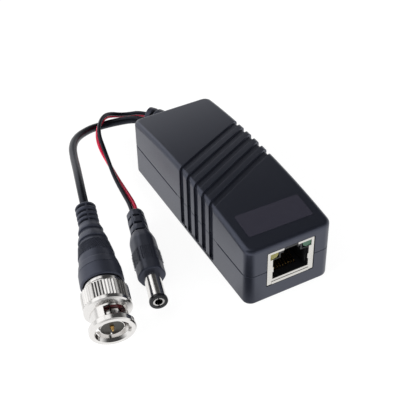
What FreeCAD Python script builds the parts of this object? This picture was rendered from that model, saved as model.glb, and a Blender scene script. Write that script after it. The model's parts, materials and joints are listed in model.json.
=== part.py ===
import FreeCAD, Part
import math
import os

V = FreeCAD.Vector
os.makedirs("parts", exist_ok=True)

# Passive video balun: a black box with a network jack in front and two moulded leads behind.
# Millimetres. The box lies along Y with the jack at -Y, its base on z = 0 and +X to the right of the jack.

# Housing
CASE_LENGTH = 80.6
CASE_WIDTH = 30.5
CROWN_HEIGHT = 25.1
CROWN_RADIUS = 270.0
CROWN_APEX_Y = -2.4
SEAM_HEIGHT = 12.03
WALL = 2.2
CORNER_RADIUS = 3.0
TOP_EDGE_RADIUS = 1.6
BASE_EDGE_RADIUS = 1.15
SEAM_LINE = 0.12
SHADOW_GAP_HEIGHT = 0.3
SHADOW_GAP_DEPTH = 0.4
TONGUE_INSET = 1.25
TONGUE_DEPTH = 1.3
TONGUE_PLAY = 0.06

# Wrap-around grooves: square to the sides, slanted over the top
GROOVE_COUNT = 5
GROOVE_PITCH = 4.98
GROOVE_MOUTH = 2.6
GROOVE_DEPTH_SIDE = 0.8
GROOVE_DEPTH_TOP = 0.65
GROOVE_LEFT_Y = 3.7
GROOVE_RIGHT_Y = 19.2
GROOVE_TURN_RADIUS = 4.0
GROOVE_FOOT_HEIGHT = 1.9
GROOVE_FOOT_RADIUS = 0.9

# Case screws: insets from the left side and the front end, and from the right side and the rear end
FRONT_SCREW_INSET = (7.45, 24.8)
REAR_SCREW_INSET = (7.05, 10.3)
SCREW_RADIUS = 1.25
SCREW_HEAD_RADIUS = 2.3
SCREW_HEAD_HEIGHT = 1.7
SCREW_LENGTH = 12.0
SCREW_SLOT_SIZE = 0.6
POST_RADIUS = 3.4
POST_HEIGHT = 8.6
HEAD_POCKET_DEPTH = 4.2
HEAD_POCKET_PLAY = 0.3
SHANK_PLAY = 0.25
PILOT_SPARE = 1.5
BOSS_STEP = 0.3
SCREW_TIP_RADIUS = 0.3
SCREW_TIP_LENGTH = 1.2
SCREW_HEAD_ROUND = 0.5
SCREW_SLOT_DEPTH = 1.0
SCREW_SLOT_SHARE = 0.62

# Circuit board
BOARD_THICKNESS = 1.6
BOARD_SEAT_HEIGHT = 4.4
BOARD_SIDE_PLAY = 0.6
TAIL_ROOM = 12.6
STANDOFF_RADIUS = 1.9
STANDOFF_INSET = 2.6
PEG_RADIUS = 0.8
PEG_PLAY = 0.1

# Network jack
JACK_WIDTH = 16.7
JACK_HEIGHT = 13.3
JACK_DEPTH = 18.6
JACK_OFFSET_X = 0.31
JACK_RECESS = 0.15
JACK_PLAY = 0.28
SHIELD_SHEET = 0.35
SHIELD_FOLD = 0.3
SHIELD_TOP_BAR = 0.8
SHIELD_SIDE_BAR = 1.85
SHIELD_LAMP_BAR = 0.95
SHIELD_BOTTOM_BAR = 2.05
SHIELD_FLAP_WIDTH = 13.5
SHIELD_FLAP_STEP = 0.15
SHIELD_STAKE_WIDTH = 1.6
SHIELD_STAKE_LENGTH = 3.2
SHIELD_STAKE_BACK = 7.5
PORT_WIDTH = 11.9
PORT_FLOOR = 2.15
PORT_HEIGHT = 7.5
PORT_DEPTH = 14.5
LATCH_WIDE = 7.1
LATCH_WIDE_HEIGHT = 1.7
LATCH_NARROW = 5.07
LATCH_NARROW_HEIGHT = 0.9
LAMP_WIDTH = 3.0
LAMP_HEIGHT = 2.3
LAMP_LENGTH = 14.0
LAMP_ROUND = 1.5
CONTACT_COUNT = 8
CONTACT_PITCH = 1.02
CONTACT_WIDTH = 0.35
CONTACT_THICKNESS = 0.3
CONTACT_FRONT = 3.6
CONTACT_RUN = 8.5
CONTACT_RISE = 3.4

# Parts on the board, placed from its middle line and its back edge, the arrester from its right side
RING_CORE_RADIUS = 5.4
RING_CORE_BORE = 2.4
RING_CORE_HEIGHT = 5.2
RING_CORE_ROUND = 0.8
RING_CORE_PLACE = (0.5, -29.0)
CHOKE_SIZE = (9.0, 6.4, 6.2)
CHOKE_FLANGE = 1.3
CHOKE_WAIST = 0.7
CHOKE_PLACE = (-4.5, -15.5)
ARRESTER_RADIUS = 2.5
ARRESTER_LENGTH = 7.0
ARRESTER_CAP = 1.2
ARRESTER_CAP_STEP = 0.25
ARRESTER_PLACE = (5.85, -19.0)
CAPACITOR_RADIUS = 2.5
CAPACITOR_HEIGHT = 7.2
CAPACITOR_ROUND = 0.5
CAPACITOR_PLACES = ((-4.0, -7.2), (5.6, -8.0))

# Label, a thin plate on the crown; its centre is measured from the middle line and the front end
LABEL_LENGTH = 22.7
LABEL_WIDTH = 9.5
LABEL_THICKNESS = 0.1
LABEL_CENTRE = (0.12, 10.4)
LABEL_TURN = -1.0
LABEL_CORNER = 0.5

# Strain relief, bent to the left where it leaves the box
RELIEF_X = 0.4
RELIEF_Z = 11.3
RELIEF_BEND_RADIUS = 19.2
RELIEF_BEND_ANGLE = 38.0
RELIEF_RIBS = 4
RELIEF_RIB_SHARE = 0.68
RELIEF_BASE_RADIUS = 5.0
RELIEF_END_RADIUS = 4.0
RELIEF_RIB_ROUND = 0.35
RELIEF_CORE_RADIUS = 3.35
RELIEF_NECK_RADIUS = 3.5
RELIEF_NECK_OVERLAP = 0.5
RELIEF_FLANGE_RADIUS = 4.9
RELIEF_FLANGE_THICKNESS = 1.5

# Leads. A lead leaves the strain relief's end face at an offset to the right and upwards, runs straight on,
# follows its route and enters its plug straight. In these places y is measured from the case's rear end
COAX_DIAMETER = 2.9
COAX_EXIT = (-1.4, -0.8)
COAX_STRAIGHTS = (3.33, 5.85)
COAX_ROUTE = [
    (-9.4, 15.8, 10.1),
    (-12.9, 17.6, 9.4),
    (-16.9, 18.5, 9.2),
    (-21.2, 18.4, 9.5),
    (-25.5, 17.2, 10.4),
    (-32.0, 12.9, 12.0),
    (-36.2, 6.4, 13.6),
    (-38.7, -1.4, 14.7),
    (-40.7, -8.8, 16.2),
    (-42.8, -16.2, 17.4),
]
WIRE_DIAMETER = 1.45
WIRE_SPACING = 1.57
POWER_EXIT = (1.6, 0.0)
POWER_STRAIGHTS = (4.2, 5.0)
# The roll of the pair in degrees: 0 puts black on the right of red, 90 on top of it
POWER_EXIT_ROLL = 120
POWER_ENTRY_ROLL = 10
POWER_ROUTE = [
    (-8.1, 19.1, 10.2, 112),
    (-11.5, 20.7, 10.7, 104),
    (-15.6, 20.9, 12.4, 98),
    (-19.3, 18.5, 13.9, 98),
    (-23.4, 13.8, 14.2, 120),
    (-25.6, 9.2, 13.2, 150),
    (-26.0, 5.7, 11.0, 150),
    (-25.7, 3.3, 8.4, 118),
    (-25.5, -0.4, 5.9, 78),
    (-25.7, -5.1, 4.2, 42),
    (-26.0, -10.3, 3.6, 22),
    (-27.1, -16.3, 3.9, 15),
]
ARC_SHARE = 0.45
# Tails inside the box, from the middle of the strain relief's inner face; the third number is the share of
# the drop from there to the board
COAX_TAIL = [(-1.4, 0.0, 0.0), (-1.4, -4.2, 0.0), (-2.1, -8.6, 0.3), (-3.3, -12.6, 0.8), (-4.1, -16.2, 1.0)]
POWER_TAIL = [(2.0, 0.0, 0.0), (2.0, -3.4, 0.0), (1.5, -7.6, 0.31), (1.8, -11.8, 0.83), (2.2, -15.4, 1.0)]
TAIL_PLAY = 0.05

# Bayonet plug, measured along its axis from the rear of the boot; it rests on the rim of its nut
BNC_REAR = (-46.36, -29.65, 16.2)
BNC_HEADING = (-0.2395, -0.952, -0.1908)
BOOT_EDGE = 0.4
BOOT_TAIL_RADIUS = 3.45
BOOT_TAIL_END = 8.3
BOOT_NOTCHES = (1.2, 3.4, 5.3, 7.2)
BOOT_NOTCH_WIDTH = 0.8
BOOT_NOTCH_FLANK = 0.12
BOOT_NOTCH_DEPTH = 0.5
# Two bells with an undercut behind each, then the cone up to the collar
BOOT_STEPS = (
    (8.5, 3.5), (10.5, 4.1), (10.7, 3.55), (11.0, 3.6), (12.6, 4.35), (14.5, 4.85), (14.7, 4.4),
    (15.0, 4.45), (16.1, 4.85), (17.9, 5.35), (20.3, 5.65), (23.6, 6.05),
)
BOOT_COLLAR_START = 23.8
BOOT_COLLAR_ROOT = 6.3
BOOT_COLLAR_LINE = 26.3
BOOT_COLLAR_STEP = 0.1
BOOT_COLLAR_RADIUS = 6.9
BOOT_COLLAR_EDGE = 0.6
BOOT_LINE_WIDTH = 0.25
BOOT_LINE_DEPTH = 0.2
BOOT_LENGTH = 31.3
BOOT_RECESS_RADIUS = 6.3
BOOT_RECESS_DEPTH = 1.5
FERRULE_RADIUS = 2.6
FERRULE_LENGTH = 9.5
SHOULDER_RADIUS = 4.8
SHOULDER_LENGTH = 6.4
SHOULDER_END_GAP = 0.4
NECK_RADIUS = 4.5
BODY_BORE_INSET = 3.0
BODY_FLANGE_RADIUS = 5.6
BODY_FLANGE_THICKNESS = 1.0
SLEEVE_RADIUS = 4.0
SLEEVE_WALL = 0.4
SLEEVE_RECESS = 1.4
SLEEVE_EDGE = 0.4
SLEEVE_SLITS = 4
SLIT_WIDTH = 0.45
SLIT_LENGTH = 6.5
SLIT_TURN = -5.0

# Coupling nut, measured from its own rear end, which dips into the boot
NUT_DIP = 0.3
NUT_LIP_RADIUS = 6.0
NUT_LIP_EDGE = 0.2
NUT_LIP_GROOVE = (1.5, 1.8)
NUT_LIP_GROOVE_DEPTH = 0.2
NUT_LIP_LENGTH = 2.6
NUT_KNURL_FROM = 3.0
NUT_KNURL_TO = 8.3
NUT_KNURL_GROOVE = 0.2
NUT_KNURL_GROOVE_DEPTH = 0.4
NUT_KNURL_RADIUS = 7.5
NUT_BAND_TO = 9.6
NUT_BAND_ROUND = 0.4
NUT_SLEEVE_FROM = 10.6
NUT_SLEEVE_RADIUS = 5.95
NUT_RIM_FROM = 14.9
NUT_RIM_RADIUS = 7.15
NUT_RIM_ROUND = 0.35
NUT_LENGTH = 17.1
NUT_MOUTH_DEPTH = 1.0
NUT_MOUTH_RADIUS = 5.6
NUT_BORE_RADIUS = 5.05
NUT_CHAMBER_RADIUS = 5.9
NUT_CHAMBER_SPARE = 1.2
NUT_REAR_CHAMBER_RADIUS = 5.2
NUT_FLANGE_GAP = 0.3
NUT_FLANGE_THICKNESS = 1.6
NUT_RUNNING_PLAY = 0.06
NUT_TRAVEL = 0.8
NUT_TRAVEL_SPARE = 0.4
KNURL_TEETH = 48
KNURL_DEPTH = 0.28
WINDOW_WIDTH = 3.5
WINDOW_FROM = 30.0
WINDOW_TO = 107.0
WINDOW_STATION = 12.55
WINDOW_RISE = 1.0
ENTRY_ANGLE = 24.0
ENTRY_WIDTH = 2.3
ENTRY_RADIUS = 5.6
ENTRY_FROM = 13.6
WASHER_RADIUS = 5.5
WASHER_THICKNESS = 0.25
WASHER_WAVE = 0.25
WASHER_WAVES = 3
WASHER_PLAY = 0.02
WASHER_BORE_PLAY = 0.1
RING_INSET = 0.3
RING_RADIUS = 5.0
RING_THICKNESS = 0.7
RING_GROOVE_DEPTH = 0.35
RING_GAP_FROM = 250.0
RING_GAP_ANGLE = 40.0
GASKET_RADIUS = 4.75
GASKET_LENGTH = 4.9
PIN_RADIUS = 0.68
PIN_TIP_RADIUS = 0.25
PIN_TAPER = 1.2
PIN_RECESS = 0.4
DIELECTRIC_RECESS = 2.0

# Barrel plug, measured along its axis from the rear of the grip: station and half width of the hexagon
DC_REAR = (-28.5, -28.02, 4.45)
DC_HEADING = (-0.265, -0.9642, 0.0)
GRIP_SECTIONS = (
    (0.0, 2.6), (0.5, 2.87), (3.0, 2.87), (4.0, 3.01), (9.2, 3.01), (10.6, 3.17), (12.0, 3.55),
    (13.4, 3.92), (14.6, 4.17), (15.6, 4.24), (29.6, 4.36),
)
GRIP_LENGTH = 31.2
GRIP_SIDES = 6
GRIP_CORNER_SHARE = 0.7
GRIP_FRONT_ROUND = 0.6
GRIP_TURN = 90.0
GRIP_SLOTS = ((3.6, 2.3), (7.35, 2.7), (11.1, 3.1))
GRIP_SLOT_WIDTH = 1.15
GRIP_SLOT_DEPTH = 0.55
STEM_RADIUS = 2.45
STEM_BORE = 1.75
STEM_LENGTH = 7.2
BARREL_RADIUS = 2.75
BARREL_WALL = 0.35
BARREL_LENGTH = 10.0
BARREL_STEP = 0.6
TIP_LENGTH = 1.4
TIP_RADIUS = 2.95
TIP_ROUND = 0.4
TIP_BORE = 1.25
CONTACT_TUBE_WALL = 0.2
CONTACT_TAIL = 1.6
CONTACT_HEAD_RADIUS = 1.85
CONTACT_HEAD_LENGTH = 1.0
CONTACT_RECESS = 0.25
CONTACT_SLIT_WIDTH = 0.35
CONTACT_SLIT_LENGTH = 5.2

# Length by which a cutting form stands out beyond what it cuts
CUT = 1.0

# Places that follow from the sizes
CASE_FRONT = -CASE_LENGTH / 2
CASE_REAR = CASE_LENGTH / 2
SCREW_PLACES = {
    "front": (-CASE_WIDTH / 2 + FRONT_SCREW_INSET[0], CASE_FRONT + FRONT_SCREW_INSET[1]),
    "rear": (CASE_WIDTH / 2 - REAR_SCREW_INSET[0], CASE_REAR - REAR_SCREW_INSET[1]),
}
RELIEF_INNER_Y = CASE_REAR - WALL - RELIEF_FLANGE_THICKNESS
BOARD_HALF_WIDTH = CASE_WIDTH / 2 - WALL - BOARD_SIDE_PLAY
BOARD_FRONT_Y = CASE_FRONT + WALL + BOARD_SIDE_PLAY
BOARD_BACK_Y = RELIEF_INNER_Y - TAIL_ROOM
JACK_LEFT = JACK_OFFSET_X - JACK_WIDTH / 2
JACK_RIGHT = JACK_OFFSET_X + JACK_WIDTH / 2
JACK_FRONT = CASE_FRONT + JACK_RECESS
JACK_BASE = BOARD_SEAT_HEIGHT + BOARD_THICKNESS
JACK_TOP = JACK_BASE + JACK_HEIGHT
NECK_START = BOOT_LENGTH - SHOULDER_END_GAP
SHOULDER_START = NECK_START - SHOULDER_LENGTH
FERRULE_START = SHOULDER_START - FERRULE_LENGTH
BODY_BORE_START = SHOULDER_START + BODY_BORE_INSET
NUT_START = BOOT_LENGTH - NUT_DIP
NUT_END = NUT_START + NUT_LENGTH
RING_START = NUT_START + RING_INSET
NUT_FLANGE_START = RING_START + RING_THICKNESS + NUT_FLANGE_GAP
NUT_FLANGE_END = NUT_FLANGE_START + NUT_FLANGE_THICKNESS
BODY_FLANGE_START = NUT_FLANGE_END + WASHER_THICKNESS + WASHER_WAVE + NUT_TRAVEL + NUT_TRAVEL_SPARE
BODY_FLANGE_END = BODY_FLANGE_START + BODY_FLANGE_THICKNESS
SLEEVE_END = NUT_END - SLEEVE_RECESS
GRIP_RADIUS = GRIP_SECTIONS[-1][1]
BARREL_ROOT = GRIP_LENGTH - STEM_LENGTH
BARREL_END = GRIP_LENGTH + BARREL_LENGTH
TIP_START = GRIP_LENGTH + BARREL_STEP
TIP_END = BARREL_END + TIP_LENGTH
CONTACT_START = TIP_START - CONTACT_TAIL
CONTACT_END = TIP_END - CONTACT_RECESS
CONTACT_HEAD_START = CONTACT_END - CONTACT_HEAD_LENGTH


def box(x0, x1, y0, y1, z0, z1):
    return Part.makeBox(x1 - x0, y1 - y0, z1 - z0, V(x0, y0, z0))


def upright(radius, height, x, y, z):
    return Part.makeCylinder(radius, height, V(x, y, z))


def turned(profile):
    """Solid of revolution about the local axis; the profile is a list of (station, radius)."""
    points = [V(r, 0, s) for s, r in profile]
    start, end = profile[0], profile[-1]
    points.append(V(0, 0, end[0]))
    points.insert(0, V(0, 0, start[0]))
    clean = [p for i, p in enumerate(points) if i == 0 or (p - points[i - 1]).Length > 1e-6]
    wire = Part.makePolygon(clean + [clean[0]])
    return Part.Face(wire).revolve(V(0, 0, 0), V(0, 0, 1), 360)


def tube(outer, inner, start, end):
    ring = Part.makeCylinder(outer, end - start, V(0, 0, start))
    return ring.cut(Part.makeCylinder(inner, end - start + 2 * CUT, V(0, 0, start - CUT)))


def behind_case(place):
    """Point whose y is given from the case's rear end."""
    return V(place[0], CASE_REAR + place[1], place[2])


def plug_placement(rear, heading):
    """Puts the local axis on the plug's heading; seen from the front, local X points right and Y up."""
    ahead = V(*heading).normalize()
    right = V(-ahead.y, ahead.x, 0).normalize()
    return FreeCAD.Placement(behind_case(rear), FreeCAD.Rotation(right, ahead.cross(right), ahead, "ZXY"))


def placed(shape, placement):
    copy = shape.copy()
    copy.Placement = placement.multiply(copy.Placement)
    return copy


def export(name, shape):
    solids = shape.Solids
    for solid in solids:
        if not solid.isValid():
            print("not valid:", name)
    result = solids[0] if len(solids) == 1 else Part.makeCompound(solids)
    result.exportStep("parts/%s.step" % name)
    print("%-22s solids %2d  volume %9.2f" % (name, len(solids), result.Volume))
    return result


# Housing form

def crown_z(y, inset=0.0):
    reach = CROWN_RADIUS - inset
    return CROWN_HEIGHT - CROWN_RADIUS + math.sqrt(reach ** 2 - (y - CROWN_APEX_Y) ** 2)


def crown_cylinder(inset):
    centre = V(-CASE_WIDTH, CROWN_APEX_Y, CROWN_HEIGHT - CROWN_RADIUS)
    return Part.makeCylinder(CROWN_RADIUS - inset, 2 * CASE_WIDTH, centre, V(1, 0, 0))


def plan_prism(inset, z0, z1):
    """Rounded rectangle of the housing's plan, moved in by the inset, from z0 to z1."""
    half_x = CASE_WIDTH / 2 - inset
    half_y = CASE_LENGTH / 2 - inset
    radius = max(CORNER_RADIUS - inset, 0.4)
    block = box(-half_x, half_x, -half_y, half_y, z0, z1)
    uprights = [e for e in block.Edges if e.BoundBox.ZLength > (z1 - z0) * 0.9]
    return block.makeFillet(radius, uprights)


def case_form(side, roof, floor):
    """The housing's closed form, moved in by the side, roof and floor thicknesses."""
    form = plan_prism(side, floor, CROWN_HEIGHT + 1).common(crown_cylinder(roof))
    top = [e for e in form.Edges if e.BoundBox.ZMin > SEAM_HEIGHT]
    form = form.makeFillet(max(TOP_EDGE_RADIUS - roof, 0.4), top)
    base = [e for e in form.Edges if e.BoundBox.ZMax < SEAM_HEIGHT]
    return form.makeFillet(max(BASE_EDGE_RADIUS - floor, 0.3), base)


def groove_edge(y_shift):
    """Plan line of a groove's wall: square to both sides and slanted over the top between them."""
    half = CASE_WIDTH / 2
    reach = CASE_WIDTH
    left = V(-half, GROOVE_LEFT_Y + y_shift, 0)
    right = V(half, GROOVE_RIGHT_Y + y_shift, 0)
    slant = (right - left).normalize()
    turn = math.acos(slant.x)
    back = GROOVE_TURN_RADIUS * math.tan(turn / 2)
    sag = GROOVE_TURN_RADIUS * (1 / math.cos(turn / 2) - 1)
    bisector = (slant - V(1, 0, 0)).normalize()
    start = V(-reach, left.y, 0)
    end = V(reach, right.y, 0)
    a1, a2 = left - V(back, 0, 0), left + slant * back
    b1, b2 = right - slant * back, right + V(back, 0, 0)
    return [
        Part.LineSegment(start, a1).toShape(),
        Part.Arc(a1, left + bisector * sag, a2).toShape(),
        Part.LineSegment(a2, b1).toShape(),
        Part.Arc(b1, right - bisector * sag, b2).toShape(),
        Part.LineSegment(b2, end).toShape(),
    ]


def groove_prism(index):
    shift = -index * GROOVE_PITCH
    front = groove_edge(shift - GROOVE_MOUTH)
    rear = groove_edge(shift)
    closing = [
        Part.LineSegment(front[0].Vertexes[0].Point, rear[0].Vertexes[0].Point).toShape(),
        Part.LineSegment(front[-1].Vertexes[-1].Point, rear[-1].Vertexes[-1].Point).toShape(),
    ]
    outline = Part.Wire(Part.__sortEdges__(front + rear + closing))
    prism = Part.Face(outline).extrude(V(0, 0, CROWN_HEIGHT + 2 - GROOVE_FOOT_HEIGHT))
    prism.translate(V(0, 0, GROOVE_FOOT_HEIGHT))
    foot = [
        e for e in prism.Edges
        if e.BoundBox.ZMax < GROOVE_FOOT_HEIGHT + 0.01 and e.BoundBox.XLength > 0.1
    ]
    return prism.makeFillet(GROOVE_FOOT_RADIUS, foot)


def grooves():
    core = case_form(GROOVE_DEPTH_SIDE, GROOVE_DEPTH_TOP, 0.5)
    prisms = [groove_prism(i) for i in range(GROOVE_COUNT)]
    return Part.makeCompound(prisms).cut(core)


def jack_window(depth):
    """Room for the jack with its play, from the front face back to the depth."""
    return box(
        JACK_LEFT - JACK_PLAY, JACK_RIGHT + JACK_PLAY, CASE_FRONT - CUT, CASE_FRONT + depth,
        JACK_BASE - JACK_PLAY, JACK_TOP + JACK_PLAY)


def relief_hole():
    start = V(RELIEF_X, CASE_REAR - WALL - CUT, RELIEF_Z)
    return Part.makeCylinder(RELIEF_NECK_RADIUS, WALL + 2 * CUT, start, V(0, 1, 0))


def tongue_ring(outer, inner, z0, z1):
    return plan_prism(outer, z0, z1).cut(plan_prism(inner, z0 - 1, z1 + 1))


def shadow_gap():
    """Gap along the seam of the plain sides; it stops at the ribbed zone and on the jack's face."""
    z0 = SEAM_HEIGHT - SHADOW_GAP_HEIGHT
    ring = plan_prism(-CUT, z0, SEAM_HEIGHT).cut(
        plan_prism(SHADOW_GAP_DEPTH, z0 - CUT, SEAM_HEIGHT + CUT))
    last_wall = GROOVE_LEFT_Y - (GROOVE_COUNT - 1) * GROOVE_PITCH - GROOVE_MOUTH
    right_shift = GROOVE_RIGHT_Y - GROOVE_LEFT_Y
    reach = CASE_WIDTH
    top = CROWN_HEIGHT
    ribs_left = box(-reach, 0, last_wall - GROOVE_MOUTH, GROOVE_LEFT_Y + GROOVE_MOUTH, 0, top)
    ribs_right = box(
        0, reach, last_wall + right_shift - GROOVE_MOUTH, GROOVE_RIGHT_Y + GROOVE_MOUTH, 0, top)
    face = box(-reach, reach, -CASE_LENGTH, CASE_FRONT + CORNER_RADIUS, 0, top)
    return ring.cut(Part.makeCompound([ribs_left, ribs_right, face]))


def screw_boss(x, y):
    """Boss under the cover's roof with the screw's pilot hole."""
    boss = upright(POST_RADIUS - BOSS_STEP, CROWN_HEIGHT - POST_HEIGHT, x, y, POST_HEIGHT)
    return boss.common(crown_cylinder(WALL / 2))


def pilot_hole(x, y):
    depth = SCREW_LENGTH - (POST_HEIGHT - HEAD_POCKET_DEPTH) + PILOT_SPARE
    return upright(SCREW_RADIUS, depth, x, y, POST_HEIGHT)


def case_block(z0, z1):
    return box(-CASE_WIDTH, CASE_WIDTH, -CASE_LENGTH, CASE_LENGTH, z0, z1)


def cover(body):
    upper = case_block(SEAM_HEIGHT + SEAM_LINE, CROWN_HEIGHT + CUT)
    hollow = case_form(WALL, WALL, WALL)
    shape = body.cut(hollow).common(upper)
    tongue = tongue_ring(
        TONGUE_INSET + TONGUE_PLAY, WALL, SEAM_HEIGHT - TONGUE_DEPTH, SEAM_HEIGHT + SEAM_LINE + CUT)
    shape = shape.fuse(tongue)
    bosses = [screw_boss(x, y) for x, y in SCREW_PLACES.values()]
    shape = shape.fuse(bosses)
    pilots = [pilot_hole(x, y) for x, y in SCREW_PLACES.values()]
    window = jack_window(JACK_RECESS + JACK_DEPTH + JACK_PLAY)
    return shape.cut(Part.makeCompound(pilots + [window, relief_hole()])).removeSplitter()


def standoff_places():
    half = BOARD_HALF_WIDTH - STANDOFF_INSET
    ends = (BOARD_FRONT_Y + STANDOFF_INSET, BOARD_BACK_Y - STANDOFF_INSET)
    return [(sx * half, y) for sx in (-1, 1) for y in ends]


def shell(body):
    lower = case_block(-CUT, SEAM_HEIGHT)
    hollow = case_form(WALL, WALL, WALL)
    shape = body.cut(hollow).common(lower)
    shape = shape.cut(tongue_ring(TONGUE_INSET, WALL + CUT, SEAM_HEIGHT - TONGUE_DEPTH, SEAM_HEIGHT + CUT))
    posts = [
        upright(POST_RADIUS, POST_HEIGHT - WALL / 2, x, y, WALL / 2) for x, y in SCREW_PLACES.values()
    ]
    rest = BOARD_SEAT_HEIGHT - WALL / 2
    stands = [upright(STANDOFF_RADIUS, rest, x, y, WALL / 2) for x, y in standoff_places()]
    pegs = [
        upright(PEG_RADIUS, rest + BOARD_THICKNESS, x, y, WALL / 2) for x, y in standoff_places()
    ]
    shape = shape.fuse(posts + stands + pegs)
    pockets = [
        upright(SCREW_HEAD_RADIUS + HEAD_POCKET_PLAY, HEAD_POCKET_DEPTH + CUT, x, y, -CUT)
        for x, y in SCREW_PLACES.values()
    ]
    holes = [
        upright(SCREW_RADIUS + SHANK_PLAY, POST_HEIGHT + 2 * CUT, x, y, -CUT)
        for x, y in SCREW_PLACES.values()
    ]
    cuts = pockets + holes + [jack_window(WALL + CUT), relief_hole(), shadow_gap()]
    return shape.cut(Part.makeCompound(cuts)).removeSplitter()


def case_screw(x, y):
    low = HEAD_POCKET_DEPTH - SCREW_HEAD_HEIGHT
    head = upright(SCREW_HEAD_RADIUS, SCREW_HEAD_HEIGHT, x, y, low)
    rim = [e for e in head.Edges if e.BoundBox.ZMax < low + SCREW_HEAD_ROUND]
    head = head.makeFillet(SCREW_HEAD_ROUND, rim)
    shank = upright(SCREW_RADIUS, SCREW_LENGTH, x, y, HEAD_POCKET_DEPTH)
    end = V(x, y, HEAD_POCKET_DEPTH + SCREW_LENGTH)
    tip = Part.makeCone(SCREW_RADIUS, SCREW_TIP_RADIUS, SCREW_TIP_LENGTH, end)
    half = SCREW_SLOT_SIZE / 2
    arm = SCREW_HEAD_RADIUS * SCREW_SLOT_SHARE
    cross = box(x - arm, x + arm, y - half, y + half, low - CUT, low + SCREW_SLOT_DEPTH).fuse(
        box(x - half, x + half, y - arm, y + arm, low - CUT, low + SCREW_SLOT_DEPTH))
    return head.fuse([shank, tip]).cut(cross)


# Inside the housing

def circuit_board():
    half = BOARD_HALF_WIDTH
    board = box(-half, half, BOARD_FRONT_Y, BOARD_BACK_Y, BOARD_SEAT_HEIGHT, JACK_BASE)
    holes = [
        upright(PEG_RADIUS + PEG_PLAY, BOARD_THICKNESS + 2 * CUT, x, y, BOARD_SEAT_HEIGHT - CUT)
        for x, y in standoff_places()
    ]
    x, y = SCREW_PLACES["front"]
    holes.append(upright(POST_RADIUS + HEAD_POCKET_PLAY, JACK_BASE + CUT, x, y, 0))
    for left, right in stake_spans():
        holes.append(box(
            left - PEG_PLAY, right + PEG_PLAY,
            JACK_FRONT + SHIELD_STAKE_BACK - PEG_PLAY,
            JACK_FRONT + SHIELD_STAKE_BACK + SHIELD_STAKE_WIDTH + PEG_PLAY, 0, JACK_BASE + CUT))
    return board.cut(Part.makeCompound(holes))


def stake_spans():
    return [(JACK_LEFT, JACK_LEFT + SHIELD_SHEET), (JACK_RIGHT - SHIELD_SHEET, JACK_RIGHT)]


def jack_shield():
    """Folded sheet round the jack: open below, with a front frame and a flap folded up from below."""
    back = JACK_FRONT + JACK_DEPTH
    sheet = SHIELD_SHEET
    can = box(JACK_LEFT, JACK_RIGHT, JACK_FRONT, back, JACK_BASE, JACK_TOP)
    folds = [e for e in can.Edges if e.BoundBox.YLength > 1 and e.BoundBox.ZMin > JACK_TOP - 1]
    can = can.makeFillet(SHIELD_FOLD, folds)
    can = can.cut(box(
        JACK_LEFT + sheet, JACK_RIGHT - sheet, JACK_FRONT + sheet, back - sheet,
        JACK_BASE - 1, JACK_TOP - sheet))
    low = JACK_BASE + SHIELD_BOTTOM_BAR
    lamp_low = JACK_TOP - SHIELD_TOP_BAR - LAMP_HEIGHT
    window = box(
        JACK_LEFT + SHIELD_SIDE_BAR, JACK_RIGHT - SHIELD_SIDE_BAR, JACK_FRONT - 1, JACK_FRONT + 1,
        low, JACK_TOP - SHIELD_TOP_BAR)
    lamps = box(
        JACK_LEFT + SHIELD_LAMP_BAR, JACK_RIGHT - SHIELD_LAMP_BAR, JACK_FRONT - 1, JACK_FRONT + 1,
        lamp_low, JACK_TOP - SHIELD_TOP_BAR)
    half = LATCH_NARROW / 2
    latch = box(
        JACK_OFFSET_X - half, JACK_OFFSET_X + half, JACK_FRONT - 1, JACK_FRONT + 1.6,
        low, JACK_TOP + 1)
    can = can.cut(Part.makeCompound([window, lamps, latch]))
    half_flap = SHIELD_FLAP_WIDTH / 2
    flap = box(
        JACK_OFFSET_X - half_flap, JACK_OFFSET_X + half_flap,
        JACK_FRONT - SHIELD_FLAP_STEP, JACK_FRONT, JACK_BASE, JACK_BASE + SHIELD_BOTTOM_BAR / 2)
    springs = []
    for side in (-1, 1):
        x_in = JACK_OFFSET_X + side * (JACK_WIDTH / 2 - SHIELD_SIDE_BAR)
        x0, x1 = sorted((x_in, x_in - side * 0.3))
        springs.append(box(x0, x1, JACK_FRONT, JACK_FRONT + 0.3, JACK_BASE + 5.0, JACK_BASE + 7.0))
    stakes = [
        box(a, b, JACK_FRONT + SHIELD_STAKE_BACK,
            JACK_FRONT + SHIELD_STAKE_BACK + SHIELD_STAKE_WIDTH,
            JACK_BASE - SHIELD_STAKE_LENGTH, JACK_BASE + 1)
        for a, b in stake_spans()
    ]
    return can.fuse([flap] + springs + stakes).removeSplitter()


def lamp_pocket(side, play=0.0):
    inner = JACK_OFFSET_X + side * (JACK_WIDTH / 2 - SHIELD_LAMP_BAR - LAMP_WIDTH - play)
    outer = JACK_OFFSET_X + side * (JACK_WIDTH / 2 - SHIELD_LAMP_BAR)
    x0, x1 = sorted((inner, outer))
    top = JACK_TOP - SHIELD_TOP_BAR
    front = JACK_FRONT + SHIELD_SHEET
    return box(x0, x1, front, front + LAMP_LENGTH, top - LAMP_HEIGHT - play, top)


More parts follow.
